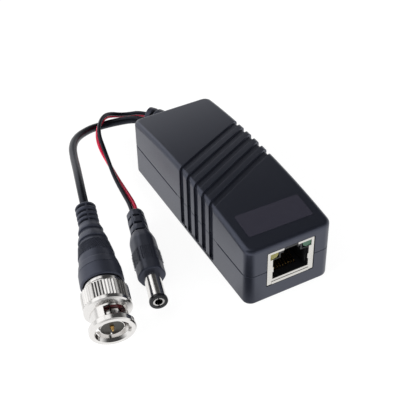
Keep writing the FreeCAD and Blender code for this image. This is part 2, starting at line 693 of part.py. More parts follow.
def jack_insert():
    sheet = SHIELD_SHEET
    front = JACK_FRONT + sheet
    back = JACK_FRONT + JACK_DEPTH - sheet
    body = box(JACK_LEFT + sheet, JACK_RIGHT - sheet, front, back, JACK_BASE, JACK_TOP - sheet)
    floor = JACK_BASE + PORT_FLOOR
    roof = floor + PORT_HEIGHT
    half = PORT_WIDTH / 2
    port = box(JACK_OFFSET_X - half, JACK_OFFSET_X + half, front - 1, front + PORT_DEPTH, floor, roof)
    wide = box(
        JACK_OFFSET_X - LATCH_WIDE / 2, JACK_OFFSET_X + LATCH_WIDE / 2, front - 1,
        front + PORT_DEPTH, roof - 1, roof + LATCH_WIDE_HEIGHT)
    narrow = box(
        JACK_OFFSET_X - LATCH_NARROW / 2, JACK_OFFSET_X + LATCH_NARROW / 2, front - 1,
        front + PORT_DEPTH, roof, roof + LATCH_WIDE_HEIGHT + LATCH_NARROW_HEIGHT)
    pockets = [lamp_pocket(side, 0.25) for side in (-1, 1)]
    mouth_half = half + 0.5
    mouth = box(
        JACK_OFFSET_X - mouth_half, JACK_OFFSET_X + mouth_half, front - 1, front + 1.0,
        floor, roof - 0.4)
    slots = [
        box(x - CONTACT_WIDTH, x + CONTACT_WIDTH, JACK_FRONT + CONTACT_FRONT - 0.6,
            JACK_FRONT + CONTACT_FRONT + CONTACT_RUN, floor - 0.9, floor + 0.5)
        for x in contact_places()
    ]
    cuts = [port, wide, narrow, mouth] + pockets + slots
    return body.cut(Part.makeCompound(cuts)).removeSplitter()


def contact_places():
    first = JACK_OFFSET_X - CONTACT_PITCH * (CONTACT_COUNT - 1) / 2
    return [first + i * CONTACT_PITCH for i in range(CONTACT_COUNT)]


def jack_contact(x):
    """A contact spring: it lies in its slot, turns up at the front and slopes up towards the back wall."""
    y0 = JACK_FRONT + CONTACT_FRONT
    z0 = JACK_BASE + PORT_FLOOR
    t = CONTACT_THICKNESS
    back = JACK_FRONT + SHIELD_SHEET + PORT_DEPTH
    line = [
        (y0 - 0.2, z0 - 0.75), (y0, z0 + 0.2), (y0 + CONTACT_RUN, z0 + CONTACT_RISE),
        (back, z0 + CONTACT_RISE),
    ]
    lower = [V(0, y, z) for y, z in line]
    upper = [V(0, y, z + t) for y, z in reversed(line)]
    face = Part.Face(Part.makePolygon(lower + upper + [lower[0]]))
    strip = face.extrude(V(CONTACT_WIDTH, 0, 0))
    strip.translate(V(x - CONTACT_WIDTH / 2, 0, 0))
    return strip


def lamp(side):
    """Light pipe in a top corner of the jack, its inner lower edge rounded."""
    body = lamp_pocket(side)
    x_inner = JACK_OFFSET_X + side * (JACK_WIDTH / 2 - SHIELD_LAMP_BAR - LAMP_WIDTH)
    low = JACK_TOP - SHIELD_TOP_BAR - LAMP_HEIGHT
    edge = [
        e for e in body.Edges
        if e.BoundBox.YLength > 1
        and abs(e.BoundBox.XMin - x_inner) < 0.01 and abs(e.BoundBox.ZMin - low) < 0.01
    ]
    return body.makeFillet(LAMP_ROUND, edge)


def on_board(place):
    return place[0], BOARD_BACK_Y + place[1]


def top_edges(shape):
    return [e for e in shape.Edges if e.BoundBox.ZMin > shape.BoundBox.ZMax - 0.01]


def ring_core():
    x, y = on_board(RING_CORE_PLACE)
    ring = upright(RING_CORE_RADIUS, RING_CORE_HEIGHT, x, y, JACK_BASE)
    ring = ring.cut(upright(RING_CORE_BORE, RING_CORE_HEIGHT + 2 * CUT, x, y, JACK_BASE - CUT))
    return ring.makeFillet(RING_CORE_ROUND, top_edges(ring))


def choke():
    x, y = on_board(CHOKE_PLACE)
    length, width, height = CHOKE_SIZE
    body = box(x - length / 2, x + length / 2, y - width / 2, y + width / 2, JACK_BASE, JACK_BASE + height)
    inner = length / 2 - CHOKE_FLANGE
    band = box(x - inner, x + inner, y - width, y + width, JACK_BASE - CUT, JACK_BASE + height + CUT)
    waist = box(
        x - inner, x + inner, y - width / 2 + CHOKE_WAIST, y + width / 2 - CHOKE_WAIST,
        JACK_BASE + CHOKE_WAIST, JACK_BASE + height - CHOKE_WAIST)
    return body.cut(band.cut(waist))


def arrester():
    x, y = on_board((BOARD_HALF_WIDTH - ARRESTER_PLACE[0], ARRESTER_PLACE[1]))
    start = V(x, y - ARRESTER_LENGTH / 2, JACK_BASE + ARRESTER_RADIUS)
    along = V(0, 1, 0)
    middle = Part.makeCylinder(ARRESTER_RADIUS - ARRESTER_CAP_STEP, ARRESTER_LENGTH, start, along)
    far = start + along * (ARRESTER_LENGTH - ARRESTER_CAP)
    caps = [Part.makeCylinder(ARRESTER_RADIUS, ARRESTER_CAP, place, along) for place in (start, far)]
    return middle.fuse(caps)


def capacitor(x, y):
    can = upright(CAPACITOR_RADIUS, CAPACITOR_HEIGHT, x, y, JACK_BASE)
    return can.makeFillet(CAPACITOR_ROUND, top_edges(can))


def label():
    x, y = LABEL_CENTRE[0], CASE_FRONT + LABEL_CENTRE[1]
    half_l = LABEL_LENGTH / 2
    half_w = LABEL_WIDTH / 2
    plate = box(x - half_l, x + half_l, y - half_w, y + half_w, SEAM_HEIGHT, CROWN_HEIGHT + CUT)
    plate = plate.makeFillet(LABEL_CORNER, [e for e in plate.Edges if e.BoundBox.ZLength > CUT])
    plate.rotate(V(x, y, 0), V(0, 0, 1), LABEL_TURN)
    return plate.common(crown_cylinder(-LABEL_THICKNESS)).cut(crown_cylinder(0))


# Strain relief

def relief_frame(share):
    """Centre point and heading at a share of the bend."""
    angle = math.radians(RELIEF_BEND_ANGLE * share)
    centre_x = RELIEF_X - RELIEF_BEND_RADIUS
    point = V(
        centre_x + RELIEF_BEND_RADIUS * math.cos(angle),
        CASE_REAR + RELIEF_BEND_RADIUS * math.sin(angle), RELIEF_Z)
    return point, V(-math.sin(angle), math.cos(angle), 0)


def strain_relief():
    start, heading = relief_frame(0)
    disc = Part.Face(Part.Wire(Part.makeCircle(RELIEF_CORE_RADIUS, start, heading)))
    pivot = V(RELIEF_X - RELIEF_BEND_RADIUS, CASE_REAR, RELIEF_Z)
    core = disc.revolve(pivot, V(0, 0, 1), RELIEF_BEND_ANGLE)
    pitch = 1 / (RELIEF_RIBS - 1 + RELIEF_RIB_SHARE)
    ribs = []
    for i in range(RELIEF_RIBS):
        share = i * pitch
        rear, along = relief_frame(share)
        radius = RELIEF_BASE_RADIUS + (RELIEF_END_RADIUS - RELIEF_BASE_RADIUS) * share
        circle = Part.Face(Part.Wire(Part.makeCircle(radius, rear, along)))
        rib = circle.revolve(pivot, V(0, 0, 1), RELIEF_BEND_ANGLE * pitch * RELIEF_RIB_SHARE)
        rounded = [e for e in rib.Edges if e.Length > radius * 6]
        ribs.append(rib.makeFillet(RELIEF_RIB_ROUND, rounded))
    root = V(RELIEF_X, RELIEF_INNER_Y, RELIEF_Z)
    along = V(0, 1, 0)
    neck_length = CASE_REAR + RELIEF_NECK_OVERLAP - RELIEF_INNER_Y
    neck = Part.makeCylinder(RELIEF_NECK_RADIUS, neck_length, root, along)
    flange = Part.makeCylinder(RELIEF_FLANGE_RADIUS, RELIEF_FLANGE_THICKNESS, root, along)
    return core.fuse(ribs + [neck, flange]).removeSplitter()


# Leads

def rounded_route(points):
    """Straight runs joined by tangent arcs, each as large as its two runs allow; also gives the radii."""
    edges = []
    radii = []
    at = points[0]
    for before, corner, after in zip(points, points[1:], points[2:]):
        into = (corner - before).normalize()
        out = (after - corner).normalize()
        half = math.acos(max(-1.0, min(1.0, into.dot(out)))) / 2
        back = ARC_SHARE * min((corner - before).Length, (after - corner).Length)
        radius = back / math.tan(half)
        radii.append(radius)
        start = corner - into * back
        end = corner + out * back
        middle = corner + (out - into).normalize() * (radius / math.cos(half) - radius)
        edges.append(Part.LineSegment(at, start).toShape())
        edges.append(Part.Arc(start, middle, end).toShape())
        at = end
    edges.append(Part.LineSegment(at, points[-1]).toShape())
    return edges, radii


def lead(name, points, diameter):
    edges, radii = rounded_route(points)
    path = Part.Wire(edges)
    ring = Part.Wire(Part.makeCircle(diameter / 2, points[0], points[1] - points[0]))
    solid = path.makePipeShell([ring], True, False)
    section = math.pi * diameter ** 2 / 4
    lowest = min(p.z for p in path.discretize(Number=800)) - diameter / 2
    print("%s: length %.1f, volume share %.4f, lowest %.2f" % (
        name, path.Length, solid.Volume / (section * path.Length), lowest))
    print("   arc radii: " + ", ".join("%.1f" % r for r in radii))
    print("   in diameters: " + ", ".join("%.1f" % (r / diameter) for r in radii))
    return solid


def lead_line(offset, straights, route, rear, heading):
    """Centre line from the strain relief's end face over the route to the rear of the plug."""
    end, out = relief_frame(1)
    start = end + V(out.y, -out.x, 0) * offset[0] + V(0, 0, offset[1])
    goal = behind_case(rear)
    into = V(*heading).normalize()
    middle = [behind_case(p) for p in route]
    return [start, start + out * straights[0]] + middle + [goal - into * straights[1], goal]


def wire_points(side):
    """Centre line of one wire of the pair: side -1 is red, +1 is black."""
    centres = lead_line(POWER_EXIT, POWER_STRAIGHTS, POWER_ROUTE, DC_REAR, DC_HEADING)
    rolls = [POWER_EXIT_ROLL] * 2 + [p[3] for p in POWER_ROUTE] + [POWER_ENTRY_ROLL] * 2
    points = []
    last = len(centres) - 1
    for i, centre in enumerate(centres):
        before = last - 1 if i == last - 1 else max(i - 1, 0)
        after = 1 if i == 1 else min(i + 1, last)
        ahead = (centres[after] - centres[before]).normalize()
        right = V(ahead.y, -ahead.x, 0).normalize()
        roll = math.radians(rolls[i])
        across = right * math.cos(roll) + right.cross(ahead) * math.sin(roll)
        points.append(centre + across * (side * WIRE_SPACING / 2))
    return points


def tail_points(offsets, diameter):
    """Centre line of a tail that comes to lie on the board."""
    drop = RELIEF_Z - (JACK_BASE + diameter / 2 + TAIL_PLAY)
    return [V(RELIEF_X + x, RELIEF_INNER_Y + y, RELIEF_Z - share * drop) for x, y, share in offsets]


# Bayonet plug

def bnc_boot():
    """Tail with notches, two bells, cone and collar, hollow for the ferrule, the shoulder and the nut."""
    bottom = BOOT_TAIL_RADIUS - BOOT_NOTCH_DEPTH
    profile = [(0.0, BOOT_TAIL_RADIUS - BOOT_EDGE), (BOOT_EDGE, BOOT_TAIL_RADIUS)]
    for notch in BOOT_NOTCHES:
        a = notch - BOOT_NOTCH_WIDTH / 2
        b = notch + BOOT_NOTCH_WIDTH / 2
        profile += [
            (a, BOOT_TAIL_RADIUS), (a + BOOT_NOTCH_FLANK, bottom), (b - BOOT_NOTCH_FLANK, bottom),
            (b, BOOT_TAIL_RADIUS),
        ]
    profile += [(BOOT_TAIL_END, BOOT_TAIL_RADIUS)] + list(BOOT_STEPS)
    profile += [
        (BOOT_COLLAR_START, BOOT_COLLAR_ROOT), (BOOT_COLLAR_LINE, BOOT_COLLAR_RADIUS - BOOT_COLLAR_STEP),
        (BOOT_LENGTH - BOOT_COLLAR_EDGE, BOOT_COLLAR_RADIUS), (BOOT_LENGTH, BOOT_COLLAR_RADIUS - BOOT_EDGE),
    ]
    line_radius = BOOT_COLLAR_RADIUS - BOOT_COLLAR_STEP - BOOT_LINE_DEPTH
    line = tube(BOOT_COLLAR_RADIUS + CUT, line_radius, BOOT_COLLAR_LINE, BOOT_COLLAR_LINE + BOOT_LINE_WIDTH)
    recess = BOOT_LENGTH - BOOT_RECESS_DEPTH
    hollow = turned([
        (FERRULE_START, FERRULE_RADIUS), (SHOULDER_START, FERRULE_RADIUS),
        (SHOULDER_START, SHOULDER_RADIUS), (recess, SHOULDER_RADIUS), (recess, BOOT_RECESS_RADIUS),
        (BOOT_LENGTH + CUT, BOOT_RECESS_RADIUS),
    ])
    return turned(profile).cut(line).cut(hollow).removeSplitter()


def bnc_body():
    """Ferrule, shoulder, neck, flange and slit contact sleeve, turned as one piece."""
    outer = turned([
        (FERRULE_START, FERRULE_RADIUS), (SHOULDER_START, FERRULE_RADIUS),
        (SHOULDER_START, SHOULDER_RADIUS), (NECK_START, SHOULDER_RADIUS), (NECK_START, NECK_RADIUS),
        (BODY_FLANGE_START, NECK_RADIUS), (BODY_FLANGE_START, BODY_FLANGE_RADIUS),
        (BODY_FLANGE_END, BODY_FLANGE_RADIUS), (BODY_FLANGE_END, SLEEVE_RADIUS),
        (SLEEVE_END - SLEEVE_EDGE, SLEEVE_RADIUS), (SLEEVE_END, SLEEVE_RADIUS - SLEEVE_EDGE / 2),
    ])
    bore = Part.makeCylinder(SLEEVE_RADIUS - SLEEVE_WALL, SLEEVE_END, V(0, 0, BODY_BORE_START))
    groove = tube(
        NECK_RADIUS + CUT, NECK_RADIUS - RING_GROOVE_DEPTH, RING_START, RING_START + RING_THICKNESS)
    slits = []
    reach = SLEEVE_RADIUS + CUT
    half = SLIT_WIDTH / 2
    for i in range(SLEEVE_SLITS // 2):
        slit = box(-reach, reach, -half, half, SLEEVE_END - SLIT_LENGTH, SLEEVE_END + CUT)
        slit.rotate(V(0, 0, 0), V(0, 0, 1), SLIT_TURN + i * 360 / SLEEVE_SLITS)
        slits.append(slit)
    return outer.cut(Part.makeCompound([bore, groove] + slits))


def knurl_blank(radius, start, end):
    """Ring with straight V-shaped teeth round it."""
    points = []
    for i in range(2 * KNURL_TEETH):
        angle = math.pi * i / KNURL_TEETH
        reach = radius if i % 2 == 0 else radius - KNURL_DEPTH
        points.append(V(reach * math.cos(angle), reach * math.sin(angle), start))
    return Part.Face(Part.makePolygon(points + [points[0]])).extrude(V(0, 0, end - start))


def sector(radius, angle_from, angle_to, start, end):
    wedge = Part.makeCylinder(radius, end - start, V(0, 0, start), V(0, 0, 1), angle_to - angle_from)
    wedge.rotate(V(0, 0, 0), V(0, 0, 1), angle_from)
    return wedge


def bayonet_window(turn):
    """A slanted slot through the thin sleeve of the nut, over a fifth of its round."""
    middle = (WINDOW_FROM + WINDOW_TO) / 2
    spread = math.radians((WINDOW_TO - WINDOW_FROM) / 2)
    tilt = math.degrees(math.atan2(WINDOW_RISE, 2 * NUT_SLEEVE_RADIUS * math.sin(spread)))
    reach = NUT_RIM_RADIUS + CUT
    half = WINDOW_WIDTH / 2
    slab = box(-reach, reach, -reach, reach, -half, half)
    slab.rotate(V(0, 0, 0), V(1, 0, 0), tilt)
    slab.rotate(V(0, 0, 0), V(0, 0, 1), middle)
    slab.translate(V(0, 0, NUT_START + WINDOW_STATION))
    window = slab.common(sector(reach, WINDOW_FROM, WINDOW_TO, NUT_START, NUT_END))
    window.rotate(V(0, 0, 0), V(0, 0, 1), turn)
    return window


def entry_notch(angle):
    """Way in for a stud: a notch in the mouth's bore, and behind the rim a channel to the end of the window."""
    start = NUT_START + ENTRY_FROM
    half = ENTRY_WIDTH / 2
    notch = box(0, ENTRY_RADIUS, -half, half, start, NUT_END + CUT)
    notch = notch.common(Part.makeCylinder(ENTRY_RADIUS, NUT_END + CUT, V(0, 0, 0)))
    channel = box(0, NUT_SLEEVE_RADIUS + CUT, -half, half, start, NUT_START + NUT_RIM_FROM)
    notch = notch.fuse(channel)
    notch.rotate(V(0, 0, 0), V(0, 0, 1), angle)
    return notch


def nut_outline():
    """Profile of the nut: thin rear lip, knurl, polished band, thin sleeve and rim."""
    def at(station):
        return NUT_START + station

    lip_groove = NUT_LIP_RADIUS - NUT_LIP_GROOVE_DEPTH
    root = NUT_KNURL_RADIUS - KNURL_DEPTH
    low = NUT_KNURL_RADIUS - NUT_KNURL_GROOVE_DEPTH
    return [
        (at(0), NUT_LIP_RADIUS - NUT_LIP_EDGE), (at(NUT_LIP_EDGE), NUT_LIP_RADIUS),
        (at(NUT_LIP_GROOVE[0]), NUT_LIP_RADIUS), (at(NUT_LIP_GROOVE[0]), lip_groove),
        (at(NUT_LIP_GROOVE[1]), lip_groove), (at(NUT_LIP_GROOVE[1]), NUT_LIP_RADIUS),
        (at(NUT_LIP_LENGTH), NUT_LIP_RADIUS), (at(NUT_KNURL_FROM), root),
        (at(NUT_KNURL_TO), root), (at(NUT_KNURL_TO), low),
        (at(NUT_KNURL_TO + NUT_KNURL_GROOVE), low),
        (at(NUT_KNURL_TO + NUT_KNURL_GROOVE), NUT_KNURL_RADIUS),
        (at(NUT_BAND_TO), NUT_KNURL_RADIUS),
        (at(NUT_BAND_TO + NUT_BAND_ROUND), NUT_KNURL_RADIUS - NUT_BAND_ROUND),
        (at(NUT_SLEEVE_FROM), NUT_SLEEVE_RADIUS), (at(NUT_RIM_FROM), NUT_SLEEVE_RADIUS),
        (at(NUT_RIM_FROM), NUT_RIM_RADIUS - NUT_RIM_ROUND),
        (at(NUT_RIM_FROM + NUT_RIM_ROUND), NUT_RIM_RADIUS),
        (NUT_END - NUT_RIM_ROUND, NUT_RIM_RADIUS), (NUT_END, NUT_RIM_RADIUS - NUT_RIM_ROUND),
    ]


def bnc_coupling_nut():
    teeth = knurl_blank(NUT_KNURL_RADIUS, NUT_START + NUT_KNURL_FROM, NUT_START + NUT_KNURL_TO)
    running = NECK_RADIUS + NUT_RUNNING_PLAY
    chamber_end = BODY_FLANGE_END + NUT_CHAMBER_SPARE
    hollow = turned([
        (NUT_START - CUT, NUT_REAR_CHAMBER_RADIUS), (NUT_FLANGE_START, NUT_REAR_CHAMBER_RADIUS),
        (NUT_FLANGE_START, running), (NUT_FLANGE_END, running),
        (NUT_FLANGE_END, NUT_CHAMBER_RADIUS), (chamber_end, NUT_CHAMBER_RADIUS),
        (chamber_end, NUT_BORE_RADIUS), (NUT_END - NUT_MOUTH_DEPTH, NUT_BORE_RADIUS),
        (NUT_END, NUT_MOUTH_RADIUS), (NUT_END + CUT, NUT_MOUTH_RADIUS),
    ])
    openings = [hollow, bayonet_window(0), bayonet_window(180)]
    openings += [entry_notch(ENTRY_ANGLE), entry_notch(ENTRY_ANGLE + 180)]
    nut = turned(nut_outline()).fuse(teeth)
    for opening in openings:
        nut = nut.cut(opening)
    return nut.removeSplitter()


def bnc_spring_washer():
    """Wave washer in front of the nut's flange; it rides with the nut."""
    steps = 8 * WASHER_WAVES
    inner = NECK_RADIUS + WASHER_BORE_PLAY
    low = NUT_FLANGE_END + WASHER_PLAY
    rings = []
    for radius in (inner, WASHER_RADIUS):
        points = []
        for i in range(steps):
            angle = 2 * math.pi * i / steps
            lift = WASHER_WAVE * (1 + math.cos(WASHER_WAVES * angle)) / 2
            points.append(V(radius * math.cos(angle), radius * math.sin(angle), low + lift))
        curve = Part.BSplineCurve()
        curve.interpolate(points, PeriodicFlag=True)
        rings.append(Part.Wire(curve.toShape()))
    leaf = Part.makeRuledSurface(rings[0], rings[1])
    return leaf.extrude(V(0, 0, WASHER_THICKNESS))


def bnc_retaining_ring():
    end = RING_START + RING_THICKNESS
    gap_to = RING_GAP_FROM + RING_GAP_ANGLE
    ring = tube(RING_RADIUS, NECK_RADIUS - RING_GROOVE_DEPTH, RING_START, end)
    return ring.cut(sector(RING_RADIUS + CUT, RING_GAP_FROM, gap_to, RING_START - CUT, end + CUT))


def bnc_gasket():
    return tube(GASKET_RADIUS, SLEEVE_RADIUS, BODY_FLANGE_END, BODY_FLANGE_END + GASKET_LENGTH)


def bnc_insulator():
    return tube(SLEEVE_RADIUS - SLEEVE_WALL, PIN_RADIUS, BODY_BORE_START, NUT_END - DIELECTRIC_RECESS)


def bnc_centre_pin():
    end = NUT_END - PIN_RECESS
    return turned([(BODY_BORE_START, PIN_RADIUS), (end - PIN_TAPER, PIN_RADIUS), (end, PIN_TIP_RADIUS)])


# Barrel plug

def grip_section(station, radius):
    """Hexagon with well rounded corners, square to the axis."""
    sides = GRIP_SIDES
    corners = []
    for i in range(sides):
        angle = math.radians(GRIP_TURN) + (2 * i + 1) * math.pi / sides
        corners.append(V(math.cos(angle), math.sin(angle), 0) * (radius / math.cos(math.pi / sides)))
    edges = []
    for i, corner in enumerate(corners):
        before = corners[i - 1]
        after = corners[(i + 1) % sides]
        into = corner + (before - corner) * (GRIP_CORNER_SHARE / 2)
        out = corner + (after - corner) * (GRIP_CORNER_SHARE / 2)
        reach = (into - corner).Length * math.tan(math.pi / 3)
        centre = corner * (1 - (into - corner).Length / math.cos(math.pi / 3) / corner.Length)
        middle = centre + (corner - centre).normalize() * (into - centre).Length
        edges.append((into, middle, out))
    made = []
    for i, (into, middle, out) in enumerate(edges):
        made.append(Part.Arc(into, middle, out).toShape())
        made.append(Part.LineSegment(out, edges[(i + 1) % sides][0]).toShape())
    wire = Part.Wire(made)
    wire.translate(V(0, 0, station))
    return wire


def grip_radius(station):
    for (s0, r0), (s1, r1) in zip(GRIP_SECTIONS, GRIP_SECTIONS[1:]):
        if s0 <= station <= s1:
            return r0 + (r1 - r0) * (station - s0) / (s1 - s0)
    return GRIP_RADIUS


def dc_plug_grip():
    pieces = []
    for (s0, r0), (s1, r1) in zip(GRIP_SECTIONS, GRIP_SECTIONS[1:]):
        pieces.append(Part.makeLoft([grip_section(s0, r0), grip_section(s1, r1)], True, True))
    last = GRIP_SECTIONS[-1][0]
    straight = Part.Face(grip_section(last, GRIP_RADIUS)).extrude(V(0, 0, GRIP_LENGTH - last))
    front = [e for e in straight.Edges if e.BoundBox.ZMin > GRIP_LENGTH - 0.01]
    straight = straight.makeFillet(GRIP_FRONT_ROUND, front)
    grip = straight.fuse(pieces)
    cuts = []
    for side in range(GRIP_SIDES):
        for centre, length in GRIP_SLOTS:
            bottom = grip_radius(centre) - GRIP_SLOT_DEPTH
            half = GRIP_SLOT_WIDTH / 2
            slot = box(bottom, bottom + GRIP_RADIUS, -length / 2, length / 2, centre - half, centre + half)
            slot.rotate(V(0, 0, 0), V(0, 0, 1), GRIP_TURN + 360 * side / GRIP_SIDES)
            cuts.append(slot)
    core = Part.makeCylinder(STEM_RADIUS, STEM_LENGTH + CUT, V(0, 0, BARREL_ROOT))
    return grip.cut(Part.makeCompound(cuts)).cut(core).removeSplitter()


def dc_plug_barrel():
    """Barrel with a thinner stem, which the grip is moulded round."""
    outer = turned([
        (BARREL_ROOT, STEM_RADIUS), (GRIP_LENGTH, STEM_RADIUS), (GRIP_LENGTH, BARREL_RADIUS),
        (BARREL_END, BARREL_RADIUS),
    ])
    inner = turned([
        (BARREL_ROOT - CUT, STEM_BORE), (TIP_START, STEM_BORE), (TIP_START, BARREL_RADIUS - BARREL_WALL),
        (BARREL_END + CUT, BARREL_RADIUS - BARREL_WALL),
    ])
    return outer.cut(inner)


def dc_plug_tip_ring():
    """Insulator inside the barrel, which ends in a rounded bead in front of it."""
    inside = BARREL_RADIUS - BARREL_WALL
    ring = turned([
        (TIP_START, inside), (BARREL_END, inside), (BARREL_END, TIP_RADIUS), (TIP_END, TIP_RADIUS)])
    bead = [
        e for e in ring.Edges
        if isinstance(e.Curve, Part.Circle) and abs(e.Curve.Radius - TIP_RADIUS) < 1e-6
    ]
    ring = ring.makeFillet(TIP_ROUND, bead)
    return ring.cut(turned([
        (TIP_START - CUT, TIP_BORE + CONTACT_TUBE_WALL), (CONTACT_HEAD_START, TIP_BORE + CONTACT_TUBE_WALL),
        (CONTACT_HEAD_START, CONTACT_HEAD_RADIUS), (TIP_END + CUT, CONTACT_HEAD_RADIUS),
    ]))


def dc_plug_contact():
    """Slit tube with a wider head in the insulator's front."""
    outer = turned([
        (CONTACT_START, TIP_BORE + CONTACT_TUBE_WALL), (CONTACT_HEAD_START, TIP_BORE + CONTACT_TUBE_WALL),
        (CONTACT_HEAD_START, CONTACT_HEAD_RADIUS), (CONTACT_END, CONTACT_HEAD_RADIUS),
    ])
    bore = Part.makeCylinder(TIP_BORE, TIP_END, V(0, 0, CONTACT_START - CUT))
    half = CONTACT_SLIT_WIDTH / 2
    reach = CONTACT_HEAD_RADIUS + CUT
    slit = box(-half, half, -reach, reach, CONTACT_END - CONTACT_SLIT_LENGTH, TIP_END)
    return outer.cut(bore).cut(slit)


def build():
    body = case_form(0, 0, 0).cut(grooves())
    export("top_cover", cover(body))
    export("bottom_shell", shell(body))
    for name, (x, y) in SCREW_PLACES.items():
        export("case_screw_" + name, case_screw(x, y))
    export("cover_label", label())
    export("circuit_board", circuit_board())
    export("jack_shield", jack_shield())
    export("jack_insert", jack_insert())
    export("jack_contacts", Part.makeCompound([jack_contact(x) for x in contact_places()]))
    export("jack_lamp_left", lamp(-1))
    export("jack_lamp_right", lamp(1))
    export("balun_transformer", ring_core())
    export("common_mode_choke", choke())
    export("surge_arrester", arrester())
    cans = [capacitor(*on_board(place)) for place in CAPACITOR_PLACES]
    export("board_capacitors", Part.makeCompound(cans))
    export("strain_relief", strain_relief())
    export("coax_tail", lead("coax tail", tail_points(COAX_TAIL, COAX_DIAMETER), COAX_DIAMETER))
    tails = []
    for side in (-1, 1):
        shifted = [p + V(side * WIRE_SPACING / 2, 0, 0) for p in tail_points(POWER_TAIL, WIRE_DIAMETER)]
        tails.append(lead("power tail", shifted, WIRE_DIAMETER))
    export("power_tails", Part.makeCompound(tails))
    coax_line = lead_line(COAX_EXIT, COAX_STRAIGHTS, COAX_ROUTE, BNC_REAR, BNC_HEADING)
    export("coax_cord", lead("coax cord", coax_line, COAX_DIAMETER))
    export("power_wire_red", lead("red wire", wire_points(-1), WIRE_DIAMETER))
    export("power_wire_black", lead("black wire", wire_points(1), WIRE_DIAMETER))

    bnc = plug_placement(BNC_REAR, BNC_HEADING)
    export("bnc_boot", placed(bnc_boot(), bnc))
    export("bnc_body", placed(bnc_body(), bnc))
    export("bnc_coupling_nut", placed(bnc_coupling_nut(), bnc))
    export("bnc_spring_washer", placed(bnc_spring_washer(), bnc))
    export("bnc_retaining_ring", placed(bnc_retaining_ring(), bnc))
    export("bnc_gasket", placed(bnc_gasket(), bnc))
    export("bnc_insulator", placed(bnc_insulator(), bnc))
    export("bnc_centre_pin", placed(bnc_centre_pin(), bnc))

    dc = plug_placement(DC_REAR, DC_HEADING)
    export("dc_plug_grip", placed(dc_plug_grip(), dc))
    export("dc_plug_barrel", placed(dc_plug_barrel(), dc))
    export("dc_plug_tip_ring", placed(dc_plug_tip_ring(), dc))
    export("dc_plug_contact", placed(dc_plug_contact(), dc))


build()
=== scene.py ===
import json
import math

import bmesh
import bpy
from mathutils import Matrix, Vector


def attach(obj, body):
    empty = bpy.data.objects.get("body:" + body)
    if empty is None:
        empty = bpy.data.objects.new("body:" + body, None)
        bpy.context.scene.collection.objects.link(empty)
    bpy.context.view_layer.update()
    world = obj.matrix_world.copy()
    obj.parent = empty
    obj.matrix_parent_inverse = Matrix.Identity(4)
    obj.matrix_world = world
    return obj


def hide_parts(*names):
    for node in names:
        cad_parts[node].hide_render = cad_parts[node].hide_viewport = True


MM = 0.001
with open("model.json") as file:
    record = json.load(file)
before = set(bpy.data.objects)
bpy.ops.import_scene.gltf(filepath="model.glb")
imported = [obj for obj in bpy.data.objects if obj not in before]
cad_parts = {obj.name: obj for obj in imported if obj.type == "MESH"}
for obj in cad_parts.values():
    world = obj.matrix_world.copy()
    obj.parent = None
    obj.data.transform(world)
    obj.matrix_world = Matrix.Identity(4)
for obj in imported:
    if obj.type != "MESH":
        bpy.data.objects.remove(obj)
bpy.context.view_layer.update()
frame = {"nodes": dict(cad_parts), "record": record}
NODES = frame["nodes"]

# Camera: azimuth, elevation and roll in degrees, aim and distance in millimetres
CAMERA_AZIMUTH, CAMERA_ELEVATION, CAMERA_ROLL = -27.387, 40.135, -1.402
CAMERA_AIM = (-9.802, 0.062, 12.0)
CAMERA_DISTANCE = 321.542
CAMERA_LENS, SENSOR_WIDTH = 86.815, 36.0
CAMERA_NEAR, CAMERA_FAR = 0.01, 10.0

# Floor: its own colour, the white that the camera and reflections see, and that white's share
FLOOR_SIZE = 6.0
FLOOR_ALBEDO = 0.8
FLOOR_GLOW = 1.12
FLOOR_GLOW_SHARE = 0.8
# Painted dark reflection: a black patch on the floor before the front left corner that only reflections see,
# in millimetres: its middle, and the distances from there up to which it is black and at which it has faded
# out
DARK_REFLECTION_MIDDLE = (-30.0, -50.0, 0.0)
DARK_REFLECTION_FULL, DARK_REFLECTION_EDGE = 12.0, 24.0
DARK_REFLECTION_ALBEDO = 0.02

# Sky: its level up to a height near the horizon, and from a height overhead
HORIZON_LIGHT, HORIZON_TOP = 0.95, 0.1
ZENITH_LIGHT, ZENITH_START = 0.06, 0.6
# Round soft boxes behind, overhead and on the left: the heading of the middle, the cosines to it where the
# light starts and is full, and its level
SOFT_BOXES = (
    ((-0.11, 0.90, 0.40), 0.915, 0.95, 1.4),
    ((-0.2, 0.25, 1.0), 0.93, 0.97, 1.2),
    ((-0.66, 0.42, 0.66), 0.87, 0.94, 1.25),
)
# Lamps: size in metres, watts, azimuth and elevation in degrees, and distance in metres
LAMPS = {
    "key_left": ((0.8, 0.6), 14.0, -95, 14, 0.9),
    "fill_front": ((0.6, 0.4), 5.0, 20, 25, 0.8),
}

# Noise lies mostly between these values
NOISE_LOW, NOISE_HIGH = 0.3, 0.7
# The black plastics mirror the light a little cooler than it is
COOL_SHEEN = "#dbe2ff"

